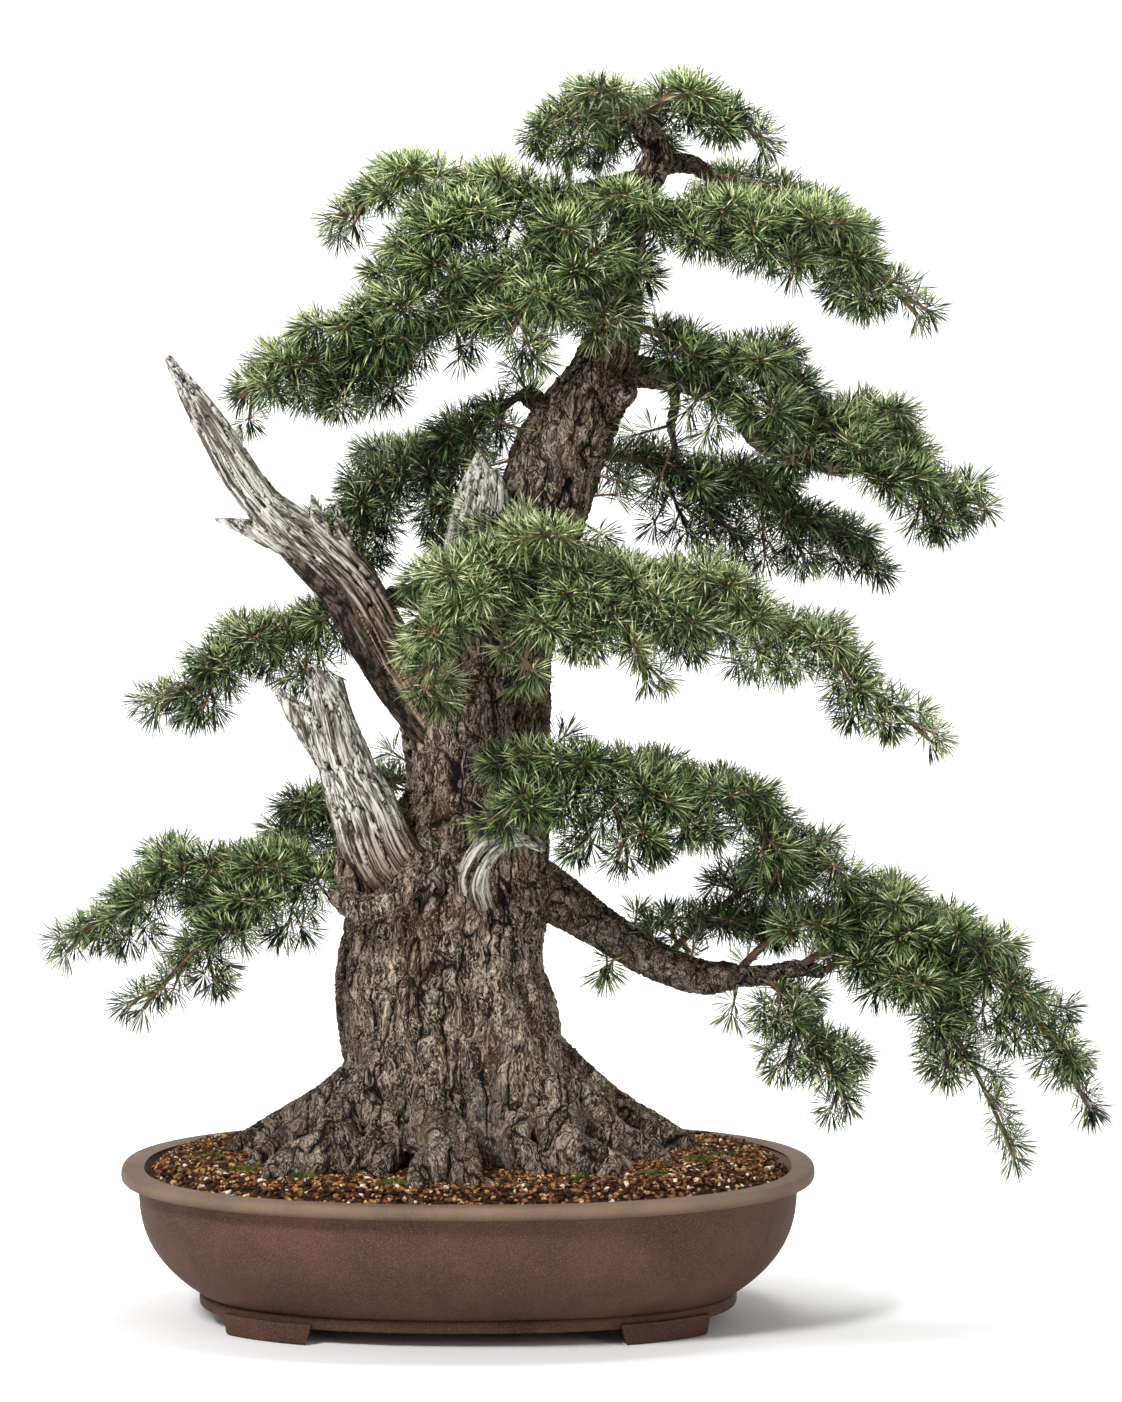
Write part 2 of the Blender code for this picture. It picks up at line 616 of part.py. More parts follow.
def make_boughs(parts, cutter, finish):
    made = {}
    for name, line in BOUGHS.items():
        bough = mesh_object(name, limb_mesh(line, BOUGH_SIDES), parts, finish)
        boolean(bough, "DIFFERENCE", cutter)
        keep_main_body(bough)
        made[name] = bough
    name = "bough_lower_right_end"
    end_line = grown_on(BOUGH_LOWER_RIGHT_END, BOUGHS["bough_lower_right"])
    made[name] = mesh_object(name, limb_mesh(end_line, BOUGH_SIDES, 1), parts, finish)
    for bough in made.values():
        shade_round(bough)
    return made


def surface_of(bm):
    bmesh.ops.triangulate(bm, faces=bm.faces)
    return BVHTree.FromBMesh(bm)


def surface_of_object(obj):
    bm = bmesh.new()
    bm.from_mesh(obj.data)
    tree = surface_of(bm)
    bm.free()
    return tree


def place_on_twig(point):
    """Orders points up a twig and round it."""
    return round(point.z, 3), round(math.atan2(*point.xy), 3)


def slim_limb(radius, last):
    """A slim prism up +Z that tapers and twists, with a ring at each whole number up to the last."""
    radii = [radius * (1 - (1 - TWIG_END) * i / last) for i in range(last + 1)]
    bm = straight_limb(radii, TWIG_SIDES)
    for vert in bm.verts:
        vert.co.xy = Matrix.Rotation(TWIG_TWIST * vert.co.z, 2) @ vert.co.xy
    return bm


def needled(path, radius, bald, skipped, rng):
    """A slim twig with needles standing out of each face, except those with a number in skipped.

    Returns the bmesh with each needle's number in a face layer; the twig's own faces have 0.
    """
    last = len(path) - 1
    bm = slim_limb(radius, last)
    owner = bm.faces.layers.int.new("needle")
    step = (path[-1] - path[0]).length / last
    sides = [f for f in bm.faces if len({round(v.co.z) for v in f.verts}) == 2]
    sides.sort(key=lambda f: place_on_twig(f.calc_center_median()))
    for number, face in enumerate(sides, 1):
        length = NEEDLE * rng.uniform(*NEEDLE_SPREAD)
        none_here = rng.random() > NEEDLE_CHANCE
        middle = face.calc_center_median()
        if none_here or middle.z / last < bald or number in skipped:
            continue
        fan = bmesh.ops.poke(bm, faces=[face])
        tip = fan["verts"][0]
        out = middle.xy.normalized() * (length * math.cos(NEEDLE_LEAN))
        tip.co = (*out, middle.z + length * math.sin(NEEDLE_LEAN) / step)
        for piece in fan["faces"]:
            piece[owner] = number
    end = next(f for f in bm.faces if all(v.co.z > last - 0.01 for v in f.verts))
    number = len(sides) + 1
    if number not in skipped:
        fan = bmesh.ops.poke(bm, faces=[end])
        fan["verts"][0].co.z = last + LAST_NEEDLE / step
        for piece in fan["faces"]:
            piece[owner] = number
    return bend(bm, path), owner


def spray(path, radius, bald, obstacles, seed):
    """A needled twig that touches nothing, or None where its own wood would."""
    skipped = set()
    for _ in range(ATTEMPTS):
        bm, owner = needled(path, radius, bald, skipped, random.Random(seed))
        tree = surface_of(bm)
        bm.faces.ensure_lookup_table()
        hits = {bm.faces[i][owner] for other in obstacles.values() for i, _ in tree.overlap(other)}
        if not hits:
            return bm
        bm.free()
        if 0 in hits:
            return None
        skipped |= hits
    return None


def spine(start, tip, arch, count):
    """A parabola from the start to the tip that stands so high above the straight line."""
    found = []
    for i in range(count + 1):
        t = i / count
        found.append(start.lerp(tip, t) + Vector((0, 0, 4 * arch * t * (1 - t))))
    return found


def inside(tree, point):
    """Whether a ray from the point leaves the surface an odd number of times."""
    crossings = 0
    while True:
        place, _, _, _ = tree.ray_cast(point, RAY_AIM)
        if place is None:
            return crossings % 2 == 1
        crossings += 1
        point = place + RAY_AIM * RAY_STEP


def bare_stem(stem):
    """The surface of a stem without its needles, and the corners of its foot."""
    bm = slim_limb(STEM_RADIUS, len(stem) - 1)
    foot_verts = [vert for vert in bm.verts if vert.co.z < 0.5]
    bend(bm, stem)
    corners = [vert.co.copy() for vert in foot_verts]
    tree = surface_of(bm)
    bm.free()
    return tree, corners


def grown_out(start, tip, arch, limbs):
    """The spine from where a stem's foot is first clear of every limb."""
    fine = spine(start, tip, arch, FINE_STEPS)
    for at in range(0, FINE_STEPS // 2):
        count = max(round((tip - fine[at]).length / NEEDLE_STEP), 2)
        stem = [fine[round(at + (FINE_STEPS - at) * i / count)] for i in range(count + 1)]
        if any(inside(tree, stem[0]) for tree in limbs):
            continue
        wood, corners = bare_stem(stem)
        near = min(tree.find_nearest(corner)[3] for tree in limbs for corner in corners)
        if near > GAP and not any(wood.overlap(tree) for tree in limbs):
            return stem
    raise RuntimeError(f"no room for a stem from {start} to {tip}")


def twig_paths(stem, spread, rng):
    """Side twigs, left and right by turns, longest a little before the middle of the stem."""
    count = 1 + round((stem[-1] - stem[0]).length / TWIG_PITCH)
    for i in range(count):
        t = BARE_STEM + (0.97 - BARE_STEM) * (i + 0.6) / count
        place = t * (len(stem) - 1)
        at = int(place)
        root = stem[at].lerp(stem[at + 1], place - at)
        ahead = (stem[at + 1] - stem[at]).normalized()
        across = ahead.cross(Vector((0, 0, 1))).normalized() * (1 if i % 2 else -1)
        upward = across.cross(ahead).normalized()
        upward *= math.copysign(1, upward.z)
        tilt = TWIG_TILTS[i % len(TWIG_TILTS)] + rng.uniform(-0.15, 0.15)
        sweep = TWIG_SWEEP + rng.uniform(-0.15, 0.15)
        aim = ahead * math.cos(sweep) + (across * math.cos(tilt) + upward * math.sin(tilt)) * math.sin(sweep)
        length = spread * (0.55 + 0.65 * math.sin(math.pi * min(t + 0.12, 1) ** 0.8)) * rng.uniform(0.85, 1.1)
        yield root, aim, length


def twig_line(root, aim, length):
    count = max(round(length / NEEDLE_STEP), 1)
    droop = Vector((0, 0, -TWIG_DROOP * length))
    return [root + aim * (length * i / count) + droop * (i / count) ** 2 for i in range(count + 1)]


def make_mass(name, stem, spread, seed, obstacles, parts, helpers, finish):
    """One mass: a stem with needled side twigs that keep clear of all limbs and masses."""
    rng = random.Random(seed)
    body = spray(stem, STEM_RADIUS, BALD_STEM, obstacles, seed)
    if body is None:
        wood, _ = bare_stem(stem)
        touched = [other for other, tree in obstacles.items() if wood.overlap(tree)]
        raise RuntimeError(f"the stem of {name} touches {touched}")
    mass = mesh_object(name, body, parts, finish)
    twigs = []
    for number, (root, aim, length) in enumerate(twig_paths(stem, spread, rng)):
        for _ in range(3):
            twig = spray(twig_line(root, aim, length), TWIG_RADIUS, BALD_TWIG, obstacles, seed + number + 1)
            if twig:
                twigs.append(mesh_object("twig", twig, helpers))
                break
            length *= SHORTER
    boolean(mass, "UNION", helpers)
    for twig in twigs:
        bpy.data.objects.remove(twig)
    keep_main_body(mass)
    return mass


def make_foliage(solids, lines, parts, helpers, finish):
    """Every mass in turn, each clear of the limbs, of those before it and of the later ones' stems."""
    limbs = {obj.name: surface_of_object(obj) for obj in solids}
    stems = {}
    for name, (carrier, along, tip, arch, _) in MASSES.items():
        path, _ = smooth(lines[carrier], 8)
        start = path[round(along * (len(path) - 1))]
        stems[name] = grown_out(start, Vector(tip), arch, limbs.values())
    waiting = {name: bare_stem(stem)[0] for name, stem in stems.items()}
    grown = {}
    for number, (name, (_, _, _, _, spread)) in enumerate(MASSES.items()):
        del waiting[name]
        obstacles = {**limbs, **grown, **waiting}
        seed = SEED + 100 * number
        mass = make_mass(name, stems[name], spread, seed, obstacles, parts, helpers, finish)
        grown[name] = surface_of_object(mass)


def main():
    clear_scene()
    parts = collection("deodar_cedar_bonsai")
    helpers = collection("helpers")
    stoneware = material("stoneware", (0.125, 0.072, 0.050), 0.85)
    earth = material("soil", (0.045, 0.022, 0.012), 0.95)
    bark = material("bark", (0.085, 0.060, 0.048), 0.90)
    dead = material("dead_wood", (0.36, 0.33, 0.29), 0.80)
    green = material("needles", (0.035, 0.085, 0.030), 0.60)

    pot = make_pot(parts, helpers, stoneware)
    soil = make_soil(parts, earth)
    trunk = make_trunk(parts, helpers, bark)
    cutters = collection("cutters")
    cutter = clearance_of(trunk, cutters)
    deadwood = make_deadwood(parts, helpers, cutter, dead)
    boughs = make_boughs(parts, cutter, bark)

    lines = {"trunk": TRUNK_LINE, **BOUGHS, "bough_lower_right_end": BOUGH_LOWER_RIGHT_END}
    solids = [pot, soil, trunk, *deadwood.values(), *boughs.values()]
    make_foliage(solids, lines, parts, helpers, green)

    middle = bpy.data.objects.new("bonsai", None)
    middle.location = POT_PLACE
    parts.objects.link(middle)
    for obj in parts.objects:
        if obj is not middle:
            obj.parent = middle
    bpy.data.collections.remove(helpers)


main()
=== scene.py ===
"""The looks of a deodar cedar bonsai in an oval pot of unglazed stoneware.

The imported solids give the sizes. Bark, dead wood, pot and soil are made again here with their
relief, and each mass of foliage grows on from its limb into finer twigs and single needles.
Lengths are metres, but the tables of points on the tree and of the moss are millimetres. They
count from the floor under the middle of the pot; POT_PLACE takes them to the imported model's frame.
"""

import json
import math
import random

import bmesh
import bpy
import numpy as np
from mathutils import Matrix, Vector

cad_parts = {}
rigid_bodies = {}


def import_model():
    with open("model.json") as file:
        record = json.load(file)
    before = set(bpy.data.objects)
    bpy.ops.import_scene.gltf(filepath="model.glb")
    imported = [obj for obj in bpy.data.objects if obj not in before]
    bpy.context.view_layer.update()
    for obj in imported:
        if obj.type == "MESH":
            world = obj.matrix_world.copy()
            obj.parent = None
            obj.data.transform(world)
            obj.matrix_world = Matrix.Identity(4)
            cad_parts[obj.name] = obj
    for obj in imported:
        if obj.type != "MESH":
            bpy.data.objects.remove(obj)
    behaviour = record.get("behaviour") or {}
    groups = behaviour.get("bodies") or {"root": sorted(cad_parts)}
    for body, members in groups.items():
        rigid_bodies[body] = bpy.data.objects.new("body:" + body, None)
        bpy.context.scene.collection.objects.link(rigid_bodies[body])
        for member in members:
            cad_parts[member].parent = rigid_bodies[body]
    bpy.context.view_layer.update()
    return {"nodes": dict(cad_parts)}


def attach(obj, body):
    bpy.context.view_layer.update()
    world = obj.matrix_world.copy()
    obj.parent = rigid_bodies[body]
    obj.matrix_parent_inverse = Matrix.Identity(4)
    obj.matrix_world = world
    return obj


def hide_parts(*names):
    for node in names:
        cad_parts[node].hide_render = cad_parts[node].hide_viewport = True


POT_PLACE = np.array([-0.087, 0.0, 0.0])
SEED = 11

# The pot
RIM_LENGTH = 0.560
RIM_WIDTH = 0.407
OVAL_POWER = 2.3  # 2 would make it an ellipse
RIM_TOP = 0.1245
RIM_ROUND = 0.0035
LIP_BOTTOM = 0.1136
LIP_ROUND = 0.0045
OVERHANG = 0.014
WALL = 0.0075
BOWL_FOOT = 0.024
BOWL_CURVE = 0.048
BOWL_POWER = 2.8
BOWL_FLOOR = 0.030
BAND_INSET = 0.0625
EDGE_ROUND = 0.003
BASE_UNDERSIDE = 0.012
POT_POINTS = 200  # round the oval
FOOT_OUTER = (31, 59.5)  # degrees round the oval, from its long axis
FOOT_INNER = (31, 54)
FOOT_INSETS = (0.058, 0.088)
# The foot from the ground up: height, degrees narrower at each end, and inset
FOOT_LEVELS = ((0, 1.9, 0.0025), (0.0008, 1.5, 0.0008), (0.003, 1.1, 0), (0.008, 0.6, 0), (0.017, 0, 0))
SOIL_EDGE = 0.120
SOIL_TOP = 0.132
SOIL_SHOULDER = 0.026
SOIL_MIDDLE = (SOIL_EDGE + SOIL_TOP) / 2
SOIL_GAP = 0.0006
SOIL_POINTS = 96

# The trunk, from the soil to its tip: x, y, z and half its width
TRUNK_LINE = (
    (0, 0, 110, 110), (0, 0, 140, 104), (-1, 0, 172, 99), (-4, 0, 205, 93), (-13.5, 2, 240, 86.5),
    (-20, 4, 270, 83), (-18, 6, 305, 78.5), (-12, 8, 345, 79), (1, 10, 385, 67), (9, 11, 425, 56),
    (8, 12, 470, 58), (6, 12, 515, 61), (18, 10, 560, 54), (40, 8, 613, 43), (62, 6, 662, 37),
    (76, 4, 705, 36), (105, 1, 755, 28), (120, -2, 805, 20), (124, -4, 855, 16), (134, -6, 900, 14),
    (152, -8, 935, 12), (141, -10, 957, 10), (133, -12, 972, 7),
)
TRUNK_DEPTH = 0.90
TRUNK_SIDES = 112
TRUNK_VOXEL = 0.0021
FLUTES = 5
FLUTE_DEPTH = 0.05
RIDGES = 14  # of bark, with furrows between
RIDGE_DEPTH = 0.03
RIDGE_SWAY = 0.07
RIDGE_WAVE = 0.9
FLUTE_TURN = 0.09  # from each ring to the next
FLUTE_RINGS = 26
LEAST_FLUTE = 0.25
TRUNK_CUT = 0.335  # where its mesh is parted in two
WAIST = 0.26  # how far it draws in between the roots
WAIST_TOP = 0.235
WAIST_RISE = 0.08

# Surface roots: each one's tip and its radius where it leaves the trunk
ROOTS = (
    (-192, 18, 23), (-152, -114, 27), (-96, -94, 22), (-30, -150, 29), (56, -96, 22), (112, -108, 27),
    (160, -40, 20), (180, 30, 24), (116, 104, 26), (48, 134, 26), (-50, 136, 27), (-120, 104, 26),
)
# How far a toe turns from each root, half way to the next one, or 0 where the next root is close
TOE_TURNS = (0.37, 0, 0.30, 0.36, 0, 0.26, 0.20, 0.28, 0.25, 0.35, 0.25, 0.31)
# Each root's points: share of the way out, height, thickness, and share of its radius to one side
ROOT_SHAPE = (
    (0.30, 214, 1.02, 0), (0.55, 173, 1.08, 0.5), (0.75, 149, 1, -0.3), (0.90, 136, 0.84, 0.3),
    (1, 126, 0.60, 0),
)
ROOT_SHRINK = 0.86
TOE_SHRINK = 0.72
TOE_DROP = 4  # millimetres
TOE_SHORT = 0.06  # share of its length
# Sides, and share of the width that is left at the tip
ROOT_TUBE = (16, 0.50)
TOE_TUBE = (14, 0.58)
BURL_SIDES = 12
# Swellings of bark on the trunk: x, y, z and radius
BURLS = (
    ((-60, -10, 350, 24), (-82, -20, 356, 26), (-96, -26, 366, 18)),
    ((-104, -50, 352, 10), (-82, -78, 342, 12), (-52, -80, 352, 8)),
    ((118, -26, 744, 12), (124, -34, 752, 13), (128, -38, 758, 9)),
    ((-86, -42, 344, 20), (-91, -50, 368, 16), (-93, -54, 390, 9)),
    ((-60, -58, 346, 16), (-50, -64, 362, 14), (-40, -58, 384, 10)),
)

# Dead wood: the line of each limb and then of its splinters, x, y, z and radius
DEADWOOD = {
    "bough": (
        (
            (0, 0, 450, 24), (-49, -10, 516, 25), (-71, -20, 552, 24.5), (-94, -30, 594, 24),
            (-127, -36, 628, 21), (-160, -40, 659, 16),
        ),
        ((-128, -40, 624, 12), (-167, -42, 640, 8), (-201, -42, 650, 1)),
        ((-114, -38, 630, 10), (-118, -44, 650, 6), (-123, -44, 670, 1)),
        ((-94, -34, 616, 9), (-100, -38, 644, 5), (-104, -38, 664, 1)),
    ),
    "stump": (
        ((-30, -20, 340, 26), (-67, -50, 382, 29), (-83, -58, 422, 27), (-99, -60, 457, 20)),
        ((-91, -60, 442, 18), (-113, -62, 471, 14), (-133, -62, 495, 10), (-150, -62, 515, 3)),
        ((-85, -60, 437, 19), (-101, -60, 481, 16), (-112, -60, 509, 13), (-123, -60, 535, 4)),
        ((-91, -57, 449, 15), (-102, -57, 493, 12), (-101, -58, 524, 3)),
    ),
    "spire": (
        ((26, -10, 545, 18), (4, -34, 598, 22), (8, -36, 645, 22), (10, -33, 680, 13), (11, -30, 703, 2)),
        ((0, -34, 604, 15), (-18, -42, 580, 12), (-37, -44, 566, 6)),
        ((12, -36, 630, 14), (24, -40, 668, 9), (22, -38, 690, 2)),
    ),
    "stub": (
        ((10, -50, 345, 11), (6, -86, 372, 12), (20, -94, 396, 11), (44, -92, 402, 8), (62, -84, 390, 3)),
    ),
    "bough_tip": (
        (
            (-150, -39, 650, 16.5), (-160, -40, 659, 15), (-180, -40, 686, 15), (-199, -40, 718, 13),
            (-214, -40, 742, 10.5), (-237, -40, 778, 3),
        ),
        ((-182, -40, 693, 8), (-182, -40, 710, 5), (-178, -40, 726, 1)),
    ),
}
DEADWOOD_VOXEL = 0.0014
LIMB_SHIFT = 0.3  # between the grain of one dead limb and the next
GRAIN_RIDGE = 0.0018
GRAIN_SPLIT = 0.0042
SILVERED = {"stump": 0.10, "stub": 0.35}  # how much nearer the trunk these are silver

# Living boughs, each starting inside what carries it: x, y, z and radius
BOUGHS = {
    "lower_right": (
        (20, 0, 368, 26), (61, 0, 347, 23), (106, -10, 319, 17.5), (146, -20, 295, 16),
        (186, -30, 281, 14.5), (214, -34, 282, 11.5),
    ),
    "lower_left": ((-50, 0, 374, 20), (-96, -10, 366, 14), (-118, -16, 370, 10.5)),
    "arch_right": ((20, -10, 415, 15), (62, -48, 436, 13), (98, -76, 459, 9)),
    "centre_front": ((40, 0, 595, 18), (62, -52, 612, 14), (84, -82, 617, 10)),
    "right_mid": (
        (100, 0, 770, 15), (141, -2, 764, 13), (182, -6, 757, 12), (217, -12, 736, 11),
        (240, -20, 708, 10), (304, -30, 687, 7),
    ),
    "right_low": ((76, 6, 706, 12), (92, 18, 702, 10), (106, 26, 696, 8)),
    "mid_left": ((122, -3, 845, 12), (94, -12, 833, 10), (30, -22, 822, 9), (-34, -32, 797, 7)),
    "left_back": ((76, 6, 716, 12), (60, 30, 734, 10), (46, 44, 746, 8)),
    "left_lower": ((12, 15, 560, 14), (-36, 44, 578, 11), (-66, 52, 580, 9)),
    "upper_left": ((142, -8, 918, 9), (106, -4, 911, 8), (68, -6, 902, 6)),
    "upper_right": ((148, -6, 928, 9), (176, 12, 930, 8), (198, 24, 918, 6)),
    "upper_front": ((130, -6, 887, 10), (142, -30, 896, 8), (160, -44, 897, 6)),
    "back_low": ((-2, 20, 412, 17), (-20, 80, 424, 13), (-36, 112, 426, 9)),
    "back_right": ((12, 20, 556, 16), (50, 68, 572, 12), (82, 94, 578, 8)),
    "back_mid": ((50, 10, 632, 14), (46, 58, 646, 10), (44, 86, 650, 7)),
    "lower_right_end": ((214, -34, 282, 9.5), (238, -38, 283, 8.5), (264, -40, 289, 7), (286, -40, 286, 6)),
}
# Thin bare twigs that hang from the boughs
HANGING_TWIGS = (
    ((160, -4, 762, 5.2), (166, -6, 742, 4.4), (163, -6, 721, 3.8), (168, -8, 698, 2.6)),
    ((94, -12, 948, 3), (80, -12, 932, 3), (84, -12, 908, 2.4)),
)
BOUGH_VOXEL = 0.0016
LIMB_SIDES = 14
LIMB_STEPS = 6  # between one point of a limb and the next

# Masses of foliage: the limb that carries each, how far along it, the tip of its stem, how high
# the stem arches over the straight line, how far its twigs spread, and how pale its needles are,
# partly their own tone and partly painted light, paler in front and darker at the back as in shade
MASSES = {
    "apex_left": ("trunk", 1, (56, -30, 948), 22, 41, 0.5),
    "apex_right": ("trunk", 0.975, (234, -26, 944), 30, 34, 0.4),
    "apex_back": ("trunk", 0.965, (128, 100, 950), 16, 36, 0.4),
    "crown_front": ("upper_front", 0.5, (64, -86, 864), 16, 52, 0.7),
    "crown_right": ("trunk", 0.83, (232, -92, 876), 20, 34, 0.7),
    "upper_right_front": ("upper_front", 1, (356, -62, 812), 34, 52, 0.7),
    "upper_right_back": ("upper_right", 1, (318, 76, 842), 20, 52, 0.4),
    "upper_left_top": ("upper_left", 1, (-106, 4, 886), 28, 40, 0.6),
    "upper_left_low": ("upper_left", 0.75, (-50, -66, 864), 14, 48, 0.6),
    "mid_left_top": ("mid_left", 0.4, (-106, -80, 798), 24, 54, 0.5),
    "mid_left": ("mid_left", 1, (-178, -46, 747), 8, 48, 0.5),
    "mid_left_low": ("mid_left", 0.92, (-108, -26, 750), -4, 28, 0.3),
    "mid_centre": ("trunk", 0.795, (36, -122, 800), 34, 54, 0.6),
    "right_top": ("trunk", 0.775, (330, -68, 688), 16, 56, 0.3),
    "right_outer": ("right_mid", 1, (398, -40, 656), 16, 50, 0.2),
    "right_outer_top": ("right_mid", 0.72, (368, 18, 696), 24, 44, 0.2),
    "right_low": ("right_low", 1, (320, 88, 606), 18, 62, 0.1),
    "left_back": ("left_back", 1, (-118, 74, 628), 1, 64, 0.1),
    "front_left": ("centre_front", 1, (-38, -112, 524), 60, 60, 1.1),
    "front_right": ("centre_front", 0.85, (366, -90, 478), 34, 50, 0.8),
    "front_hang": ("centre_front", 0.93, (142, -136, 530), 26, 36, 0.9),
    "left_lower": ("left_lower", 1, (-254, 50, 486), 17, 50, 0.4),
    "arch_right": ("arch_right", 1, (296, -92, 366), 20, 56, 0.3),
    "arch_left": ("arch_right", 0.86, (34, -124, 414), 30, 48, 0.2),
    "arch_low": ("arch_right", 0.94, (128, -142, 394), 16, 44, 0.2),
    "lower_right_top": ("lower_right_end", 0, (392, -50, 292), 52, 56, 0.5),
    "lower_right_outer": ("lower_right_end", 1, (498, -22, 176), 76, 56, 0.5),
    "lower_right_hang": ("lower_right_end", 0.3, (302, -80, 188), 16, 38, 0.5),
    "lower_right_fall": ("lower_right_end", 0.66, (434, -96, 146), 72, 44, 0.6),
    "lower_right_inner": ("lower_right", 0.66, (262, 50, 352), 14, 46, 0.1),
    "lower_left": ("lower_left", 1, (-322, -26, 300), 34, 50, 0.3),
    "lower_left_hang": ("lower_left", 0.45, (-256, -90, 264), 26, 42, 0.3),
    "back_low": ("back_low", 1, (-160, 150, 360), 16, 54, 0.2),
    "back_right": ("back_right", 1, (200, 146, 546), 18, 56, 0.3),
    "back_mid": ("back_mid", 1, (0, 172, 594), 26, 52, 0.3),
    "back_high": ("trunk", 0.8, (70, 142, 806), 24, 50, 0.3),
    # two further stems that close the masses in front of the trunk
    "front_fill_low": ("centre_front", 1, (44, -122, 528), 30, 34, 1.0),
    "front_fill_high": ("centre_front", 1, (84, -132, 556), 14, 30, 1.0),
}
# Short spurs with needles on old wood: where each starts inside it and the way it grows
SPURS = (
    ((112, -12, 315), (0, -4, -9)), ((126, -15, 307), (-5, -4, -8)), ((130, -16, 304), (2, -4, 9)),
    ((156, -23, 291), (-3, -3, 9)), ((176, -28, 284), (2, -4, 8)), ((218, -34, 282), (-2, -3, -9)),
    ((56, -4, 454), (7, -3, 6)), ((56, 10, 440), (9, 1, 3)), ((98, 6, 700), (7, -3, -6)),
    ((96, -8, 684), (9, -3, -2)), ((88, -4, 664), (9, -2, 1)), ((84, 8, 648), (8, 2, -5)),
    ((10, -26, 815), (-2, -4, -9)), ((-10, -29, 806), (2, -3, -9)), ((-36, 20, 440), (-8, 3, 5)),
    ((-38, 20, 424), (-9, 3, 1)), ((163, -6, 702), (-3, -3, -8)), ((163, -6, 722), (-8, -3, -2)),
    ((126, 0, 862), (8, 4, 3)), ((116, -8, 908), (-2, -6, -6)), ((50, 40, 742), (-3, -5, 6)),
    ((60, 30, 734), (-4, -7, 4)), ((46, 42, 744), (-8, -3, -2)), ((50, -6, 716), (-7, -6, 3)),
    ((42, -4, 696), (-8, -5, -2)),
)
SPUR_LENGTH = 0.030

# Each kind of shoot: its radius at the root and the share of it that has no needles
STEM = (0.0036, 0.03)
TWIG = (0.0019, 0.12)
SIDE_TWIG = (0.0012, 0.25)
SPUR = (0.0016, 0.4)
SHOOT_SIDES = 5
SHOOT_STEP = 0.007
# How shoots leave a path: distance from one to the next, angle off it, and their tilts by turns
TWIG_RULE = (0.019, math.radians(52), tuple(math.radians(a) for a in (6, 2, -40, -30, 26, 32)))
SIDE_TWIG_RULE = (0.016, 0.80, (0, 0.3, -0.1))
SIDE_TWIG_SHARE = 0.42  # of its twig's length
BRANCHING_LENGTH = 0.03  # a shorter twig has no side twigs
TWIG_DROOP = 0.16
BARE_STEM = 0.05
LAST_SHOOT = 0.97
TUFT_STEP = 0.0125
# A burst of needles: how many, how wide they open, and the least and greatest size
SIDE_TUFT = (24, 1.35, 0.82, 1.0)
END_TUFT = (30, 1.20, 0.90, 1.04)
WOOD_SHARE = 0.85  # of a limb's radius, inside which there is no burst
NEEDLE = 0.0262
NEEDLE_HALF_WIDTH = 0.00072
NEEDLE_WIDEST = 0.58  # share of its length
NEEDLE_SIZES = (0.82, 1.06)
NEEDLE_SAG = 0.06
GOLDEN_ANGLE = 2.399963
BUD = 0.0014
# From the darkest to the palest; partly the needles' own tones, partly painted light and shade
NEEDLE_TINTS = {
    "shade": (10, 17, 8),
    "deep": (44, 62, 32),
    "green": (104, 126, 70),
    "bright": (160, 174, 114),
    "pale": (220, 224, 176),
}
# What makes up a needle's tint, its number in the list; the two upward shares are painted light
TINT = 1.35
TINT_BY_PALE = 0.9
SPUR_TINT = 1.6
TINT_BY_SHOOT = 0.3  # chance, between shoots and between bursts
TINT_BY_NEEDLE = 1.05  # chance
UPWARD_BURST_PAINTED_LIGHT = 0.3
UPWARD_NEEDLE_PAINTED_LIGHT = 0.5

GRANULES = {
    # size, density to the square metre, smallest share, seed, dark and light colour
    "soil_bark_chips": ((0.0085, 0.0036, 0.0026), 34000, 0.5, 1, (26, 16, 11), (72, 46, 30)),
    "soil_brown_grains": ((0.0056, 0.0042, 0.0034), 34000, 0.5, 2, (70, 44, 28), (150, 100, 60)),
    "soil_tan_grains": ((0.0052, 0.0036, 0.0030), 15000, 0.45, 3, (158, 112, 66), (214, 168, 112)),
    "soil_white_grains": ((0.0046, 0.0040, 0.0034), 3600, 0.45, 4, (206, 192, 164), (244, 238, 224)),
}
# Moss at the foot of the roots: x, y, radius
MOSS = (
    (-176, -78, 17), (-130, -112, 13), (-55, -140, 18), (-40, -146, 12), (90, -122, 10), (150, -96, 12),
    (186, -30, 18), (206, -12, 12), (170, 50, 16), (100, 120, 16), (0, 150, 18), (-110, 116, 16),
    (-186, 50, 14), (-204, -20, 12),
)
# Its tips, as in the granules' rows
MOSS_TIPS = ((0.0016, 0.0013, 0.0022), 420000, 0.5, 9, (54, 63, 24), (108, 114, 50))
MOSS_SIDES = 12
MOSS_HEIGHT = 0.004

# The stage and what lights it. Lights: place, width and power
FLOOR_FRONT = -4.0
FLOOR_BACK = 5.6
FLOOR_CURVE = 1.6
STAGE_HEIGHT = 10.0
STAGE_HALF_WIDTH = 10.0
LIGHTS = {
    "key_light": ((-1.9, -2.6, 2.9), 0.9, 152),
    "top_light": ((0.3, 0.2, 3.2), 1.4, 88),
    "fill_light": ((2.6, -2.6, 1.4), 1.6, 26),
}
LIT_POINT = (0, 0, 0.5)
WORLD_LIGHT = 0.26
CAMERA_PLACE = (-0.0119, -5.0, 1.0)
CAMERA_TARGET = (-0.0119, 0, 0.5)
SENSOR_HEIGHT = 36
LENS = 160.68


def linear(*srgb):
    """A colour given in 0 to 255 as the renderer counts it."""
    return tuple(((c / 255 + 0.055) / 1.055) ** 2.4 if c > 10 else c / 255 / 12.92 for c in srgb)


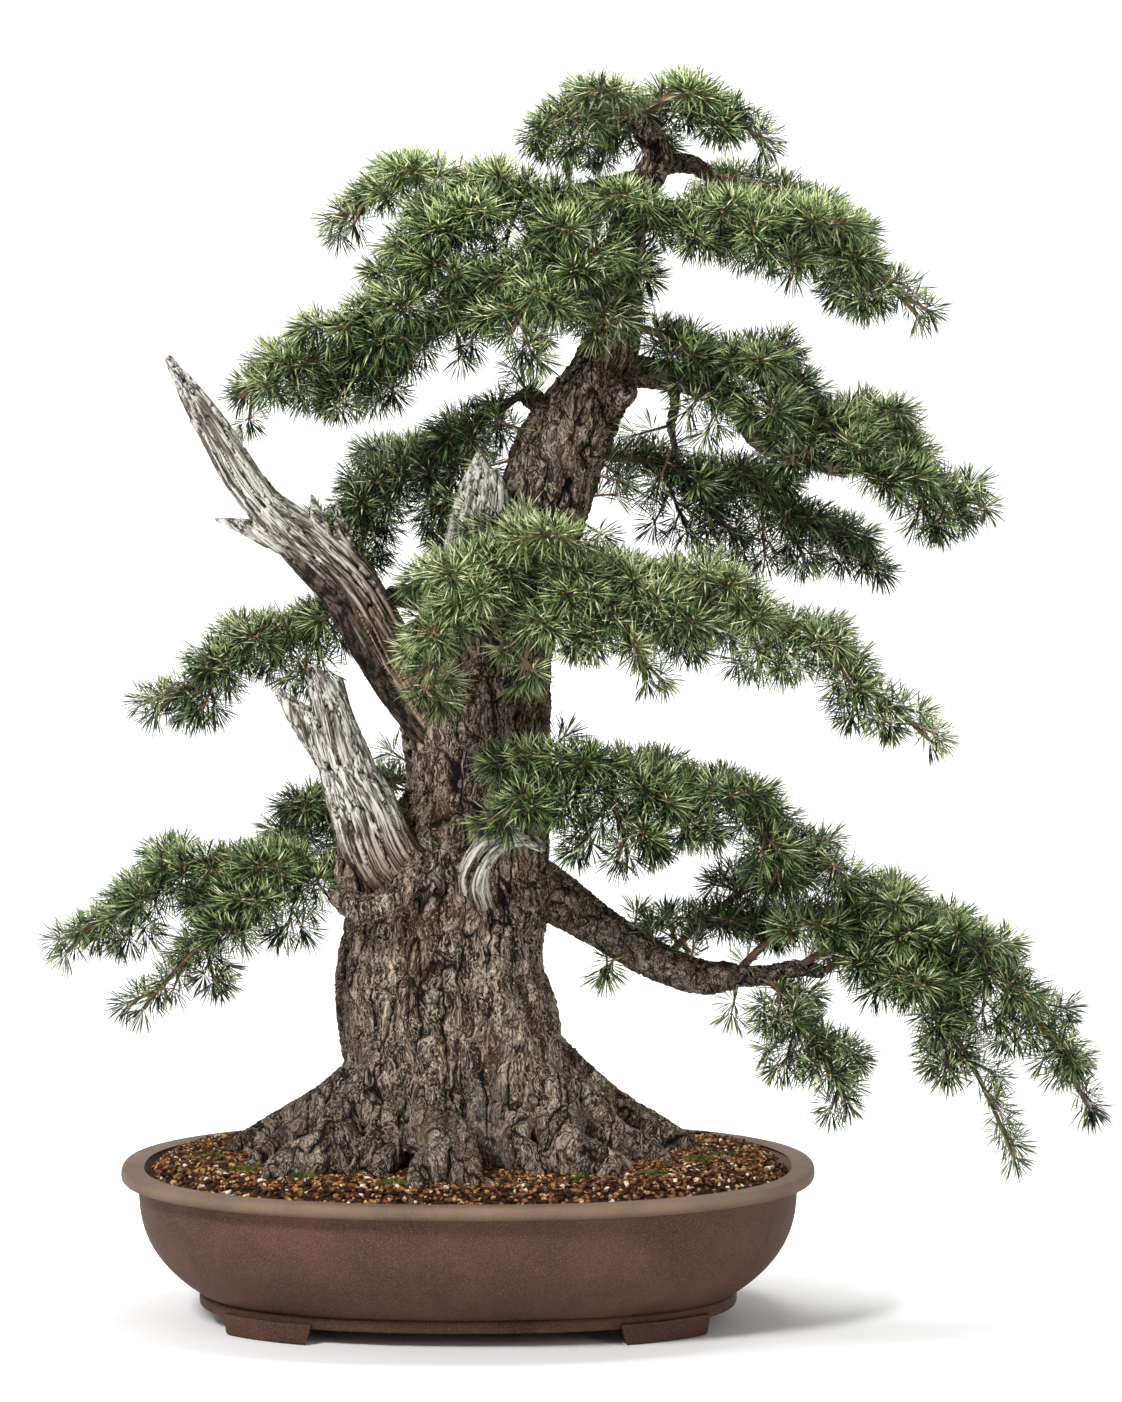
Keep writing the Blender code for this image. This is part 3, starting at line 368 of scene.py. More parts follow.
class Wire:
    """An output of a node. Arithmetic on it adds Math nodes to its tree."""

    def __init__(self, tree, socket):
        self.tree = tree
        self.socket = socket

    def __add__(self, other):
        return self.tree.maths("ADD", self, other)

    def __sub__(self, other):
        return self.tree.maths("SUBTRACT", self, other)

    def __rsub__(self, other):
        return self.tree.maths("SUBTRACT", other, self)

    def __mul__(self, other):
        return self.tree.maths("MULTIPLY", self, other)


class Tree:
    """Builds a node tree, one call to each node."""

    def __init__(self, nodes):
        self.tree = nodes

    def add(self, kind, values=None, out=0, **settings):
        node = self.tree.nodes.new(kind)
        for key, value in settings.items():
            setattr(node, key, value)
        for key, value in (values or {}).items():
            if isinstance(value, Wire):
                self.tree.links.new(value.socket, node.inputs[key])
            else:
                node.inputs[key].default_value = value
        return Wire(self, node.outputs[out])

    def maths(self, operation, *values):
        return self.add("ShaderNodeMath", dict(enumerate(values)), operation=operation)

    def vectors(self, operation, *values):
        out = 1 if operation in ("DOT_PRODUCT", "LENGTH") else 0
        return self.add("ShaderNodeVectorMath", dict(enumerate(values)), out, operation=operation)

    def scaled(self, vector, size):
        return self.add("ShaderNodeVectorMath", {0: vector, "Scale": size}, operation="SCALE")

    def axis(self, vector, number):
        return self.add("ShaderNodeSeparateXYZ", {0: vector}, number)

    def step(self, value, low, high, to_low=0.0):
        """A smooth step up to 1 from one value to another."""
        values = {0: value, 1: low, 2: high, 3: to_low}
        return self.add("ShaderNodeMapRange", values, interpolation_type="SMOOTHSTEP")

    def noise(self, place, scale, detail=2.0, roughness=0.55, out=0):
        values = {"Vector": place, "Scale": scale, "Detail": detail, "Roughness": roughness}
        return self.add("ShaderNodeTexNoise", values, out)

    def wander(self, place, scale, reach, detail=2.0):
        """A shift that changes from place to place."""
        shift = self.noise(place, scale, detail, 0.5, 1)
        return self.scaled(self.vectors("SUBTRACT", shift, (0.5, 0.5, 0.5)), reach)

    def voronoi(self, place, scale, out=0, feature="F1"):
        return self.add("ShaderNodeTexVoronoi", {"Vector": place, "Scale": scale}, out, feature=feature)

    def mix(self, share, low, high):
        """A mix of two colours, each a wire or three numbers from 0 to 255."""
        low, high = (c if isinstance(c, Wire) else (*linear(*c), 1) for c in (low, high))
        return self.add("ShaderNodeMix", {0: share, 6: low, 7: high}, 2, data_type="RGBA")

    def layers(self, colour, *layers):
        """A colour with others laid over it in turn, each given with its share."""
        for share, over in layers:
            colour = self.mix(share, colour, over)
        return colour

    def attribute(self, name, out=1):
        return self.add("ShaderNodeAttribute", None, out, attribute_name=name)

    def place(self):
        return self.add("ShaderNodeTexCoord", None, 3)


def finish_of(name, paint, roughness, gloss, **plain):
    """A material whose plain values are set on the shader; paint adds what varies, with its tree."""
    material = bpy.data.materials.new(name)
    material.use_nodes = True
    shader = material.node_tree.nodes["Principled BSDF"]
    shader.inputs["Roughness"].default_value = roughness
    shader.inputs["Specular IOR Level"].default_value = gloss
    for key, value in plain.items():
        shader.inputs[key.replace("_", " ")].default_value = value
    if paint:
        for key, wire in paint(Tree(material.node_tree)).items():
            material.node_tree.links.new(wire.socket, shader.inputs[key])
    return material


def surface(tree, colour, height, strength, distance):
    """The colour and the fine relief that a finish varies."""
    values = {"Height": height, "Strength": strength, "Distance": distance}
    return {"Base Color": colour, "Normal": tree.add("ShaderNodeBump", values)}


def bark_marks(tree, cells):
    """Plates with a crack round each, furrows between ribs, and layers that flake off in steps."""
    edge = tree.voronoi(cells, 1.0, 0, "DISTANCE_TO_EDGE")
    shade = tree.voronoi(cells, 1.0, 1)
    middle = tree.voronoi(cells, 1.0, 2)
    lean = tree.vectors("SUBTRACT", shade, (0.5, 0.5, 0.5))
    tilt = tree.vectors("DOT_PRODUCT", lean, tree.vectors("SUBTRACT", cells, middle))
    ribs = tree.voronoi(tree.vectors("MULTIPLY", cells, (1, 1, 0.36)), 0.40, 0, "DISTANCE_TO_EDGE")
    layer = tree.maths("FRACT", tree.noise(cells, 0.62, 3.0, 0.6) * 13.0)
    whole = tree.step(tree.noise(cells, 0.8), 0.44, 0.60)
    crack = tree.maths("MAXIMUM", tree.step(edge, 0.0, 0.06), whole * 0.85)
    deep = tree.step(tree.noise(cells, 0.3), 0.62, 0.48)
    furrow = 1.0 - deep * (1.0 - tree.step(ribs, 0.0, 0.055))
    return crack, furrow, tree.axis(shade, 0), tilt, layer


def paint_bark(tree):
    cells = tree.attribute("cells")
    crack, furrow, plate, tilt, layer = bark_marks(tree, cells)
    fibres = tree.noise(tree.vectors("MULTIPLY", cells, (1, 1, 0.5)), 4.2, 4.0, 0.7)
    rough = tree.noise(cells, 7.5, 4.0, 0.7)
    on_roots = tree.step(tree.axis(tree.place(), 2), 0.20, 0.12)
    # Painted light and shade: tilt makes each plate lighter on one side and darker on the other, and layer
    # squared paints a highlight on the lip of each flaking layer.
    light = layer * layer * 0.50 + plate * 0.36 + tilt * 0.7 + (fibres - 0.5) * 2.2 + on_roots * 0.08
    body = tree.layers(
        tree.mix(tree.step(light, 0.05, 0.85), (34, 25, 19), (200, 179, 156)),
        (tree.step(tree.noise(cells, 0.35), 0.50, 0.66) * 0.55, (104, 72, 50)),
        (tree.step(tree.noise(cells, 0.22), 0.54, 0.68) * 0.35, (150, 141, 132)),
        (tree.step(rough, 0.57, 0.68) * 0.9, (244, 229, 208)),
        (tree.step(rough, 0.46, 0.35) * 0.9, (20, 14, 10)),
        # Painted shade under the lip of each flaking layer.
        (tree.step(layer, 0.17, 0.0), (14, 9, 7)),
    )
    # Painted shade: the cracks round the plates are darkened.
    body = tree.mix(crack * 0.9 + 0.1, (16, 11, 8), body)
    relief = layer * 0.8 + fibres * 0.9 + rough * 0.7 + crack * 0.5
    # Painted shade: the furrows go near black in their depth.
    return surface(tree, tree.mix(furrow, (8, 5, 4), body), relief, 1.0, 0.0020)


def paint_dead_wood(tree):
    """Silver where it is weathered, brown nearer the trunk, and bark left under the long bough; the splits
    are painted dark as their shade.
    """
    grain = tree.attribute("grain")
    weathered = tree.attribute("weathered", 2)
    long_grain = tree.vectors("MULTIPLY", grain, (1, 1, 0.05))
    fine = tree.noise(long_grain, 640.0, 3.0, 0.6)
    streaks = tree.noise(long_grain, 260.0, 4.0, 0.65)
    gaps = tree.maths("ABSOLUTE", tree.noise(long_grain, 170.0, 2.0, 0.5) - 0.5)
    flakes = tree.noise(tree.vectors("MULTIPLY", grain, (1, 1, 0.4)), 210.0, 4.0, 0.7)
    warm = tree.mix(tree.step(streaks, 0.38, 0.60), (44, 33, 26), (168, 144, 122))
    silver = tree.mix(tree.step(streaks, 0.38, 0.58), (96, 89, 78), (208, 205, 195))
    under = tree.step(tree.axis(grain, 1) + (streaks - 0.5) * 0.03, -0.006, -0.013)
    on_bough = tree.step(tree.axis(grain, 0), 0.15, 0.05)
    body = tree.layers(
        tree.mix(tree.step(weathered + (streaks - 0.5) * 0.6, 0.32, 0.64), warm, silver),
        (tree.step(fine, 0.48, 0.38) * 0.8, (40, 32, 26)),
        # Painted shade: thin dark lines for fine splits that are not cut into the surface.
        (tree.step(gaps, 0.030, 0.006) * 0.9, (30, 21, 16)),
        (
            under * on_bough * tree.step(weathered, 0.62, 0.50),
            tree.mix(tree.step(flakes, 0.46, 0.64), (12, 8, 6), (100, 82, 66)),
        ),
    )
    # Painted shade: the open splits, from the grain tree's relief, are darkened near black.
    colour = tree.mix(tree.step(tree.attribute("relief", 2), 0.05, 0.54), (18, 12, 9), body)
    return surface(tree, colour, fine + streaks * 0.8, 1.0, 0.0014)


def paint_stoneware(tree):
    place = tree.place()
    clouds = tree.noise(place, 14.0, 4.0, 0.6)
    grit = tree.noise(place, 1500.0, 2.0, 0.6)
    dust = tree.step(tree.axis(place, 2), 0.110, 0.122) * (clouds * 0.65 + 0.15)
    colour = tree.layers(
        tree.mix(tree.step(clouds, 0.3, 0.7), (61, 40, 30), (82, 55, 43)),
        (tree.step(grit, 0.54, 0.70) * 0.7, (140, 102, 78)),
        (tree.step(grit, 0.46, 0.32) * 0.7, (36, 22, 16)),
        (tree.step(tree.voronoi(place, 520.0), 0.20, 0.10) * 0.5, (142, 112, 88)),
        (dust, (146, 124, 104)),
    )
    return surface(tree, colour, grit + clouds * 0.3, 0.35, 0.0006)


def paint_earth(tree):
    grains = tree.noise(tree.place(), 300.0, 4.0, 0.7)
    colour = tree.mix(tree.step(grains, 0.35, 0.65), (26, 17, 12), (72, 48, 33))
    return surface(tree, colour, grains, 1.0, 0.002)


def mottled(dark, light, scale, low, high, fine, *relief):
    """A paint of two colours in patches, with a finer grain as its relief."""
    def paint(tree):
        shade = tree.step(tree.noise(tree.place(), scale), low, high)
        return surface(tree, tree.mix(shade, dark, light), tree.noise(tree.place(), fine), *relief)
    return paint


def paint_buds(tree):
    shade = tree.step(tree.noise(tree.place(), 300.0, 1.0), 0.35, 0.65)
    return {"Base Color": tree.mix(shade, (150, 98, 54), (206, 160, 98))}


def unit(vector):
    return vector / np.linalg.norm(vector)


def smooth(line, steps):
    """Points and radii on a curve through rows of millimetres, with so many steps to each stretch."""
    rows = [np.array(row) / 1000 for row in line]
    rows = [2 * rows[0] - rows[1], *rows, 2 * rows[-1] - rows[-2]]
    found = []
    for a, b, c, d in zip(rows, rows[1:], rows[2:], rows[3:]):
        for t in np.arange(steps) / steps:
            bend_in = 2 * a - 5 * b + 4 * c - d
            bend_out = 3 * (b - c) + d - a
            found.append(b + 0.5 * t * ((c - a) + t * (bend_in + t * bend_out)))
    found = np.array([*found, rows[-2]])
    return found[:, :3], np.maximum(found[:, 3], 0.0006)


def frames_along(path):
    """The aim and two directions square to it at each point of a path, which don't twist about it."""
    aims = np.gradient(path, axis=0)
    aims /= np.linalg.norm(aims, axis=1)[:, None]
    sides = [unit(np.cross((0, 0, 1) if abs(aims[0][2]) < 0.9 else (0, 1, 0), aims[0]))]
    for aim in aims[1:]:
        sides.append(unit(sides[-1] - aim * np.dot(sides[-1], aim)))
    sides = np.array(sides)
    return aims, sides, np.cross(aims, sides)


def lofted(rings):
    """Points and faces of a closed skin over rings of equally many points."""
    count = len(rings[0])
    low = np.arange(len(rings) - 1)[:, None] * count
    here = np.arange(count)
    there = (here + 1) % count
    quads = np.stack([low + here, low + there, low + count + there, low + count + here], -1)
    last = (len(rings) - 1) * count
    faces = [tuple(quad) for quad in quads.reshape(-1, 4).tolist()]
    return np.concatenate(rings), [*faces, tuple(range(count - 1, -1, -1)), tuple(range(last, last + count))]


def tube(path, radii, sides, section=None):
    """Points and faces of a closed tube; section gives each ring's swell for each angle."""
    _, right, up = frames_along(path)
    angles = 2 * np.pi * np.arange(sides) / sides
    swell = np.ones((len(path), sides)) if section is None else section(len(path), angles)
    ring = right[:, None] * np.cos(angles)[:, None] + up[:, None] * np.sin(angles)[:, None]
    return lofted(path[:, None] + ring * (radii[:, None] * swell)[..., None])


def joined(pieces):
    """Several lists of points and faces as one."""
    points, faces, base = [], [], 0
    for some_points, some_faces in pieces:
        points.append(some_points)
        faces.extend(tuple(base + v for v in face) for face in some_faces)
        base += len(some_points)
    return np.concatenate(points), faces


def added(name, data):
    """A new object in the scene."""
    obj = bpy.data.objects.new(name, data)
    bpy.context.scene.collection.objects.link(obj)
    return obj


def mesh_object(name, points, faces, finish=None, place=POT_PLACE, rounded=True):
    mesh = bpy.data.meshes.new(name)
    mesh.from_pydata((np.asarray(points, float) + place).tolist(), [], faces)
    if finish:
        mesh.materials.append(finish)
    if rounded:
        mesh.shade_smooth()
    return added(name, mesh)


def settle(obj):
    """Puts the evaluated mesh in place of the object's own and drops its modifiers."""
    bpy.context.view_layer.update()
    mesh = bpy.data.meshes.new_from_object(obj.evaluated_get(bpy.context.evaluated_depsgraph_get()))
    obj.modifiers.clear()
    obj.data = mesh
    return obj


def fuse(name, pieces, voxel, rounds, finish):
    """One skin round overlapping tubes, with the creases where they meet softened."""
    obj = mesh_object(name, *joined(pieces))
    remesh = obj.modifiers.new("fuse", "REMESH")
    remesh.mode = "VOXEL"
    remesh.voxel_size = voxel
    soften = obj.modifiers.new("soften", "SMOOTH")
    soften.factor = 0.5
    soften.iterations = rounds
    settle(obj)
    obj.data.materials.append(finish)
    obj.data.shade_smooth()
    return obj


def through_nodes(obj, tree, **values):
    """Runs a geometry tree on an object, with its named inputs set first."""
    modifier = obj.modifiers.new(tree.name, "NODES")
    modifier.node_group = tree
    for item in tree.interface.items_tree:
        if item.in_out == "INPUT" and item.name in values:
            modifier[item.identifier] = values[item.name]
    return settle(obj)


def geometry_tree(name, **inputs):
    """A new geometry tree and its inputs, given by name and kind, as wires."""
    nodes = bpy.data.node_groups.new(name, "GeometryNodeTree")
    nodes.is_modifier = True
    for way in ("INPUT", "OUTPUT"):
        nodes.interface.new_socket("Geometry", in_out=way, socket_type="NodeSocketGeometry")
    for key, kind in inputs.items():
        nodes.interface.new_socket(key, in_out="INPUT", socket_type="NodeSocket" + kind)
    tree = Tree(nodes)
    entry = nodes.nodes.new("NodeGroupInput")
    return tree, {socket.name: Wire(tree, socket) for socket in entry.outputs if socket.name}


def end_tree(tree, geometry):
    leave = tree.tree.nodes.new("NodeGroupOutput")
    tree.tree.links.new(geometry.socket, leave.inputs[0])
    return tree.tree


def raised(tree, skin, name, value, kind, rise):
    """Keeps a value at each point of a skin, and moves the skin out along its normals."""
    values = {0: skin, "Name": name, "Value": value}
    skin = tree.add("GeometryNodeStoreNamedAttribute", values, data_type=kind, domain="POINT")
    offset = tree.scaled(tree.add("GeometryNodeInputNormal"), rise)
    return end_tree(tree, tree.add("GeometryNodeSetPosition", {0: skin, "Offset": offset}))


def bark_tree():
    """Plates, layers and furrows of bark, raised along the normals from what bark_marks draws."""
    tree, given = geometry_tree("bark", Plate="Float", Relief="Float", Furrow="Float", Length="Float")
    place = tree.add("GeometryNodeInputPosition")
    stretch = tree.add("ShaderNodeCombineXYZ", {0: 1.0, 1: 1.0, 2: given["Length"]})
    shift = tree.wander(place, 45.0, 0.016)
    long_place = tree.vectors("ADD", tree.vectors("MULTIPLY", place, stretch), shift)
    size = tree.add("ShaderNodeCombineXYZ", dict.fromkeys(range(3), given["Plate"]))
    cells = tree.vectors("DIVIDE", long_place, size)
    crack, furrow, plate, tilt, layer = bark_marks(tree, cells)
    rough = tree.noise(cells, 2.4, 3.0, 0.65)
    rise = crack * 0.4 + plate * 0.6 + tilt * 0.9 + layer * 0.8 + rough * 1.2 - 1.9
    rise = given["Relief"] * rise + given["Furrow"] * (furrow - 0.85)
    rise = rise * tree.step(tree.axis(place, 2), 0.14, 0.26, 0.5)
    return raised(tree, given["Geometry"], "cells", cells, "FLOAT_VECTOR", rise)


def grain_tree():
    """Long ridges and open splits that follow the grain of dead wood."""
    tree, given = geometry_tree("grain")
    named = tree.add("GeometryNodeInputNamedAttribute", {"Name": "grain"}, data_type="FLOAT_VECTOR")
    bent = tree.vectors("ADD", named, tree.wander(named, 30.0, 0.010))
    grain = tree.vectors("MULTIPLY", bent, (1, 1, 0.07))
    ridges = tree.noise(grain, 330.0, 3.0, 0.6)
    split = tree.step(tree.maths("ABSOLUTE", tree.noise(grain, 110.0, 2.0, 0.5) - 0.48), 0.002, 0.036)
    rise = (ridges - 0.5) * GRAIN_RIDGE * 2.0 + (split - 0.92) * GRAIN_SPLIT
    return raised(tree, given["Geometry"], "relief", split * (ridges * 0.9 + 0.35), "FLOAT", rise)


def granule_tree():
    """Loose granules scattered over a surface, each turned its own way and a little irregular."""
    tree, given = geometry_tree(
        "granules", Density="Float", Size="Vector", Smallest="Float", Seed="Int", Finish="Material"
    )
    ground = {"Mesh": given["Geometry"], "Density": given["Density"], "Seed": given["Seed"]}
    spots = tree.add("GeometryNodeDistributePointsOnFaces", ground)
    granule = tree.add("GeometryNodeMeshIcoSphere", {"Radius": 0.5, "Subdivisions": 1})
    granule = tree.add("GeometryNodeTransform", {0: granule, "Scale": given["Size"]})
    turns = {0: (-0.5, -0.5, 0.0), 1: (0.5, 0.5, 6.28), "Seed": given["Seed"]}
    turn = tree.add("FunctionNodeRandomValue", turns, data_type="FLOAT_VECTOR")
    sizes = {2: given["Smallest"], 3: 1.25, "Seed": given["Seed"]}
    size = tree.add("FunctionNodeRandomValue", sizes, 1, data_type="FLOAT")
    lumps = tree.wander(tree.add("GeometryNodeInputPosition"), 420.0, 0.004, 1.0)
    laid = spots
    for kind, values in (
        ("InstanceOnPoints", {"Instance": granule, "Rotation": turn, "Scale": size}),
        ("RealizeInstances", {}),
        ("SetPosition", {"Offset": lumps}),
        ("SetShadeSmooth", {"Shade Smooth": False}),
        ("SetMaterial", {"Material": given["Finish"]}),
    ):
        laid = tree.add("GeometryNode" + kind, {0: laid, **values})
    return end_tree(tree, laid)


def trunk_swell(rings, angles):
    """The flutes and ridges of the solid trunk."""
    ring = np.arange(rings)[:, None] / 3
    depth = FLUTE_DEPTH * np.maximum(1 - ring / FLUTE_RINGS, LEAST_FLUTE)
    angle = angles - RIDGE_SWAY * np.sin(RIDGE_WAVE * ring)
    return 1 - depth * np.cos(FLUTES * angle + FLUTE_TURN * ring) + RIDGE_DEPTH * np.cos(RIDGES * angle)


def root_line(x, y, radius, turn=0):
    """The points and radii of a root, or of a toe that turns and leaves it part way."""
    shape, drop, shrink, short = ROOT_SHAPE, 0, ROOT_SHRINK, 0
    if turn:
        shape, drop, shrink, short = ROOT_SHAPE[1:], TOE_DROP, TOE_SHRINK, TOE_SHORT
    aside = np.array([y, -x, 0]) / math.hypot(x, y) * math.copysign(radius, x * y)
    line = []
    for number, (share, height, thickness, sway) in enumerate(shape):
        part = number / (len(shape) - 1)
        cos, sin = math.cos(turn * part), math.sin(turn * part)
        out = np.array([x * cos - y * sin, x * sin + y * cos, 0]) * share * (1 - short * part)
        place = out + aside * sway + np.array([0, 0, height - drop])
        line.append((*place, radius * thickness * (shrink if number else 1)))
    return line


def narrow_tube(line, sides, least):
    """A tube that grows narrow from side to side towards its end but keeps its height."""
    path, radii = smooth(line, 4)
    points, faces = tube(path, radii, sides)
    run = path[-1] - path[0]
    aside = unit(np.array([run[1], -run[0], 0.0]))
    rings = points.reshape(len(path), sides, 3)
    reach = (rings - path[:, None]) @ aside
    share = np.minimum(np.linspace(0, 4.5, len(path)), 1)
    rings = rings - ((1 - least) * share[:, None] * reach)[..., None] * aside
    return rings.reshape(-1, 3), faces


def make_trunk(finish, relief):
    path, radii = smooth(TRUNK_LINE, 3)
    radii = radii * (1 - WAIST * np.clip((WAIST_TOP - path[:, 2]) / WAIST_RISE, 0, 1))
    points, faces = tube(path, radii, TRUNK_SIDES, trunk_swell)
    points[:, 1] *= TRUNK_DEPTH
    pieces = [(points, faces)]
    for (x, y, radius), turn in zip(ROOTS, TOE_TURNS):
        pieces.append(narrow_tube(root_line(x, y, radius), *ROOT_TUBE))
        if turn:
            pieces.append(narrow_tube(root_line(x, y, 0.9 * radius, turn), *TOE_TUBE))
    pieces += [tube(*smooth(line, 4), BURL_SIDES) for line in BURLS]
    trunk = fuse("trunk_bark", pieces, TRUNK_VOXEL, 2, finish)
    through_nodes(trunk, relief, Plate=0.0088, Relief=0.0020, Furrow=0.0034, Length=0.38)
    return cut_in_two(trunk, TRUNK_CUT, "trunk_bark_top")


def cut_in_two(obj, height, top_name):
    """The part of a piece below a height and the part above it, each closed by a flat lid."""
    top = added(top_name, obj.data.copy())
    for piece, upper in ((obj, False), (top, True)):
        skin = bmesh.new()
        skin.from_mesh(piece.data)
        cut = bmesh.ops.bisect_plane(
            skin, geom=[*skin.verts, *skin.edges, *skin.faces], plane_co=(0, 0, height),
            plane_no=(0, 0, 1), clear_outer=not upper, clear_inner=upper,
        )
        border = [part for part in cut["geom_cut"] if isinstance(part, bmesh.types.BMEdge)]
        for lid in bmesh.ops.holes_fill(skin, edges=border)["faces"]:
            lid.normal_update()
            if (lid.normal.z > 0) == upper:
                lid.normal_flip()
        for edge in border:
            edge.smooth = False
        skin.to_mesh(piece.data)
        skin.free()
    return [obj, top]


def limb_tubes(lines):
    return [tube(*smooth(line, LIMB_STEPS), LIMB_SIDES) for line in lines]


def make_boughs(finish, relief):
    boughs = fuse("boughs_bark", limb_tubes([*BOUGHS.values(), *HANGING_TWIGS]), BOUGH_VOXEL, 3, finish)
    return through_nodes(boughs, relief, Plate=0.0056, Relief=0.0014, Furrow=0.0014, Length=0.8)


def make_dead_wood(finish, relief):
    pieces = [piece for limbs in DEADWOOD.values() for piece in limb_tubes(limbs)]
    dead = fuse("dead_wood", pieces, DEADWOOD_VOXEL, 2, finish)
    points = np.array([v.co for v in dead.data.vertices]) - POT_PLACE
    lines = {name: limbs[0] for name, limbs in DEADWOOD.items()}
    beyond = lines.pop("bough_tip")
    lines["bough"] = (*lines["bough"], *beyond[2:])
    lines["stump"] = (*lines["stump"], *DEADWOOD["stump"][2][2:])
    grain, weathered = grain_along(points, lines.values())
    for number, name in enumerate(lines):
        weathered += SILVERED.get(name, 0) * (np.abs(grain[:, 0] - LIMB_SHIFT * number) < LIMB_SHIFT / 2)
    for name, values, kind, key in (
        ("grain", grain, "FLOAT_VECTOR", "vector"), ("weathered", weathered, "FLOAT", "value"),
    ):
        made = dead.data.attributes.new(name, kind, "POINT")
        made.data.foreach_set(key, values.astype(np.float32).ravel())
    return through_nodes(dead, relief)


def grain_along(points, lines):
    """Each point's place across and along its nearest limb, and how near that limb's tip it is."""
    best = np.full(len(points), np.inf)
    grain = np.zeros((len(points), 3))
    tips = np.zeros(len(points))
    for number, line in enumerate(lines):
        path, _ = smooth(line, LIMB_STEPS)
        along = np.concatenate([[0], np.cumsum(np.linalg.norm(np.diff(path, axis=0), axis=1))])
        away = np.linalg.norm(points[:, None] - path, axis=2)
        nearest = away.argmin(1)
        off = points - path[nearest]
        forward, right, up = ((off * axis[nearest]).sum(1) for axis in frames_along(path))
        local = np.stack([right + LIMB_SHIFT * number, up, along[nearest] + forward], 1)
        reach = away.min(1)
        closer = reach < best
        best[closer] = reach[closer]
        grain[closer] = local[closer]
        tips[closer] = (local[:, 2] / along[-1])[closer]
    return grain, tips


def oval_place(inset, angle):
    across, aside = (
        math.copysign(abs(share) ** (2 / OVAL_POWER), share) for share in (math.cos(angle), math.sin(angle))
    )
    return (RIM_LENGTH / 2 - inset) * across, (RIM_WIDTH / 2 - inset) * aside


def ovals(profile, count):
    """A skin whose rings go round the pot, one for each inset and height of the profile."""
    angles = [2 * math.pi * i / count for i in range(count)]
    return lofted([
        np.array([(*oval_place(inset, angle), height) for angle in angles]) for inset, height in profile
    ])


def bowl_inset(height):
    rise = min((height - BOWL_FOOT) / (LIP_BOTTOM - BOWL_FOOT), 1)
    return OVERHANG + BOWL_CURVE * (1 - rise) ** BOWL_POWER


def arc(centre, radius, start, stop, steps):
    """Profile points (inset, height) on part of a circle, for a rounded edge."""
    angles = [math.radians(start + (stop - start) * i / steps) for i in range(steps + 1)]
    return [(centre[0] - radius * math.cos(a), centre[1] + radius * math.sin(a)) for a in angles]


def make_pot(finish):
    """The bowl in one profile from under its base over the rim to the inner floor, and four feet."""
    inside = OVERHANG + WALL - EDGE_ROUND
    profile = [(BAND_INSET + 0.004, BASE_UNDERSIDE)]
    profile += arc((BAND_INSET + EDGE_ROUND, BASE_UNDERSIDE + EDGE_ROUND), EDGE_ROUND, -60, 0, 3)
    profile += arc((BAND_INSET + EDGE_ROUND, BOWL_FOOT - LIP_ROUND), EDGE_ROUND, 0, 80, 4)
    for i in range(19):
        height = BOWL_FOOT + (LIP_BOTTOM - 0.002 - BOWL_FOOT) * (i / 18) ** 1.25
        profile.append((bowl_inset(height), height))
    profile += [(OVERHANG - 0.0006, LIP_BOTTOM - 0.0008), (OVERHANG - RIM_ROUND, LIP_BOTTOM)]
    profile += arc((LIP_ROUND, LIP_BOTTOM + LIP_ROUND), LIP_ROUND, -80, 0, 6)
    profile += arc((RIM_ROUND, RIM_TOP - RIM_ROUND), RIM_ROUND, 0, 90, 6)
    profile += [(0.010, RIM_TOP - 0.0003), (inside, RIM_TOP - 0.0006)]
    profile += arc((inside, RIM_TOP - 0.0006 - EDGE_ROUND), -EDGE_ROUND, 270, 180, 4)
    for height in np.linspace(LIP_BOTTOM, BOWL_FLOOR, 8):
        profile.append((bowl_inset(height) + WALL, height))
    feet = [foot(side, end) for side in (-1, 1) for end in (-1, 1)]
    pot = mesh_object("pot_stoneware", *joined([ovals(profile, POT_POINTS), *feet]), finish)
    pot.data.set_sharp_from_angle(angle=math.radians(50))
    return pot


def foot(side, end):
    """A foot in one quarter of the oval, with a rounded lower edge and ends that lean in below."""
    rings = []
    for height, narrowing, inset in FOOT_LEVELS:
        outer = np.radians(np.linspace(FOOT_OUTER[0] + narrowing, FOOT_OUTER[1] - narrowing, 14))
        inner = np.radians(np.linspace(FOOT_INNER[1] - narrowing, FOOT_INNER[0] + narrowing, 14))
        ring = [(*oval_place(FOOT_INSETS[0] + inset, a), height) for a in outer]
        ring += [(*oval_place(FOOT_INSETS[1] - inset, a), height) for a in inner]
        rings.append((np.array(ring) * (end, side, 1))[::side * end])
    return lofted(rings)


def make_soil(finish):
    """The packed earth under the loose granules, filling the bowl."""
    inset = WALL + SOIL_GAP
    profile = [(bowl_inset(h) + inset, h) for h in np.linspace(BOWL_FLOOR + 0.001, LIP_BOTTOM, 6)]
    profile += [
        (OVERHANG + inset, SOIL_EDGE - 0.002),
        (OVERHANG + inset + SOIL_SHOULDER / 2, SOIL_MIDDLE),
        (OVERHANG + inset + SOIL_SHOULDER, SOIL_TOP - 0.001),
    ]
    return mesh_object("soil_bed", *ovals(profile, SOIL_POINTS), finish)


def make_granules(tree):
    """Granules on the open ring of soil between the wall and the trunk."""
    inset = OVERHANG + WALL
    profile = (
        (inset + 0.0035, SOIL_EDGE - 0.001), (inset + SOIL_SHOULDER / 2, SOIL_MIDDLE + 0.001),
        (inset + SOIL_SHOULDER, SOIL_TOP), (inset + 0.075, SOIL_TOP), (inset + 0.125, SOIL_TOP + 0.001),
    )
    points, faces = ovals(profile, SOIL_POINTS)
    return [scatter(name, points, faces[:-2], tree, row, 0.9) for name, row in GRANULES.items()]


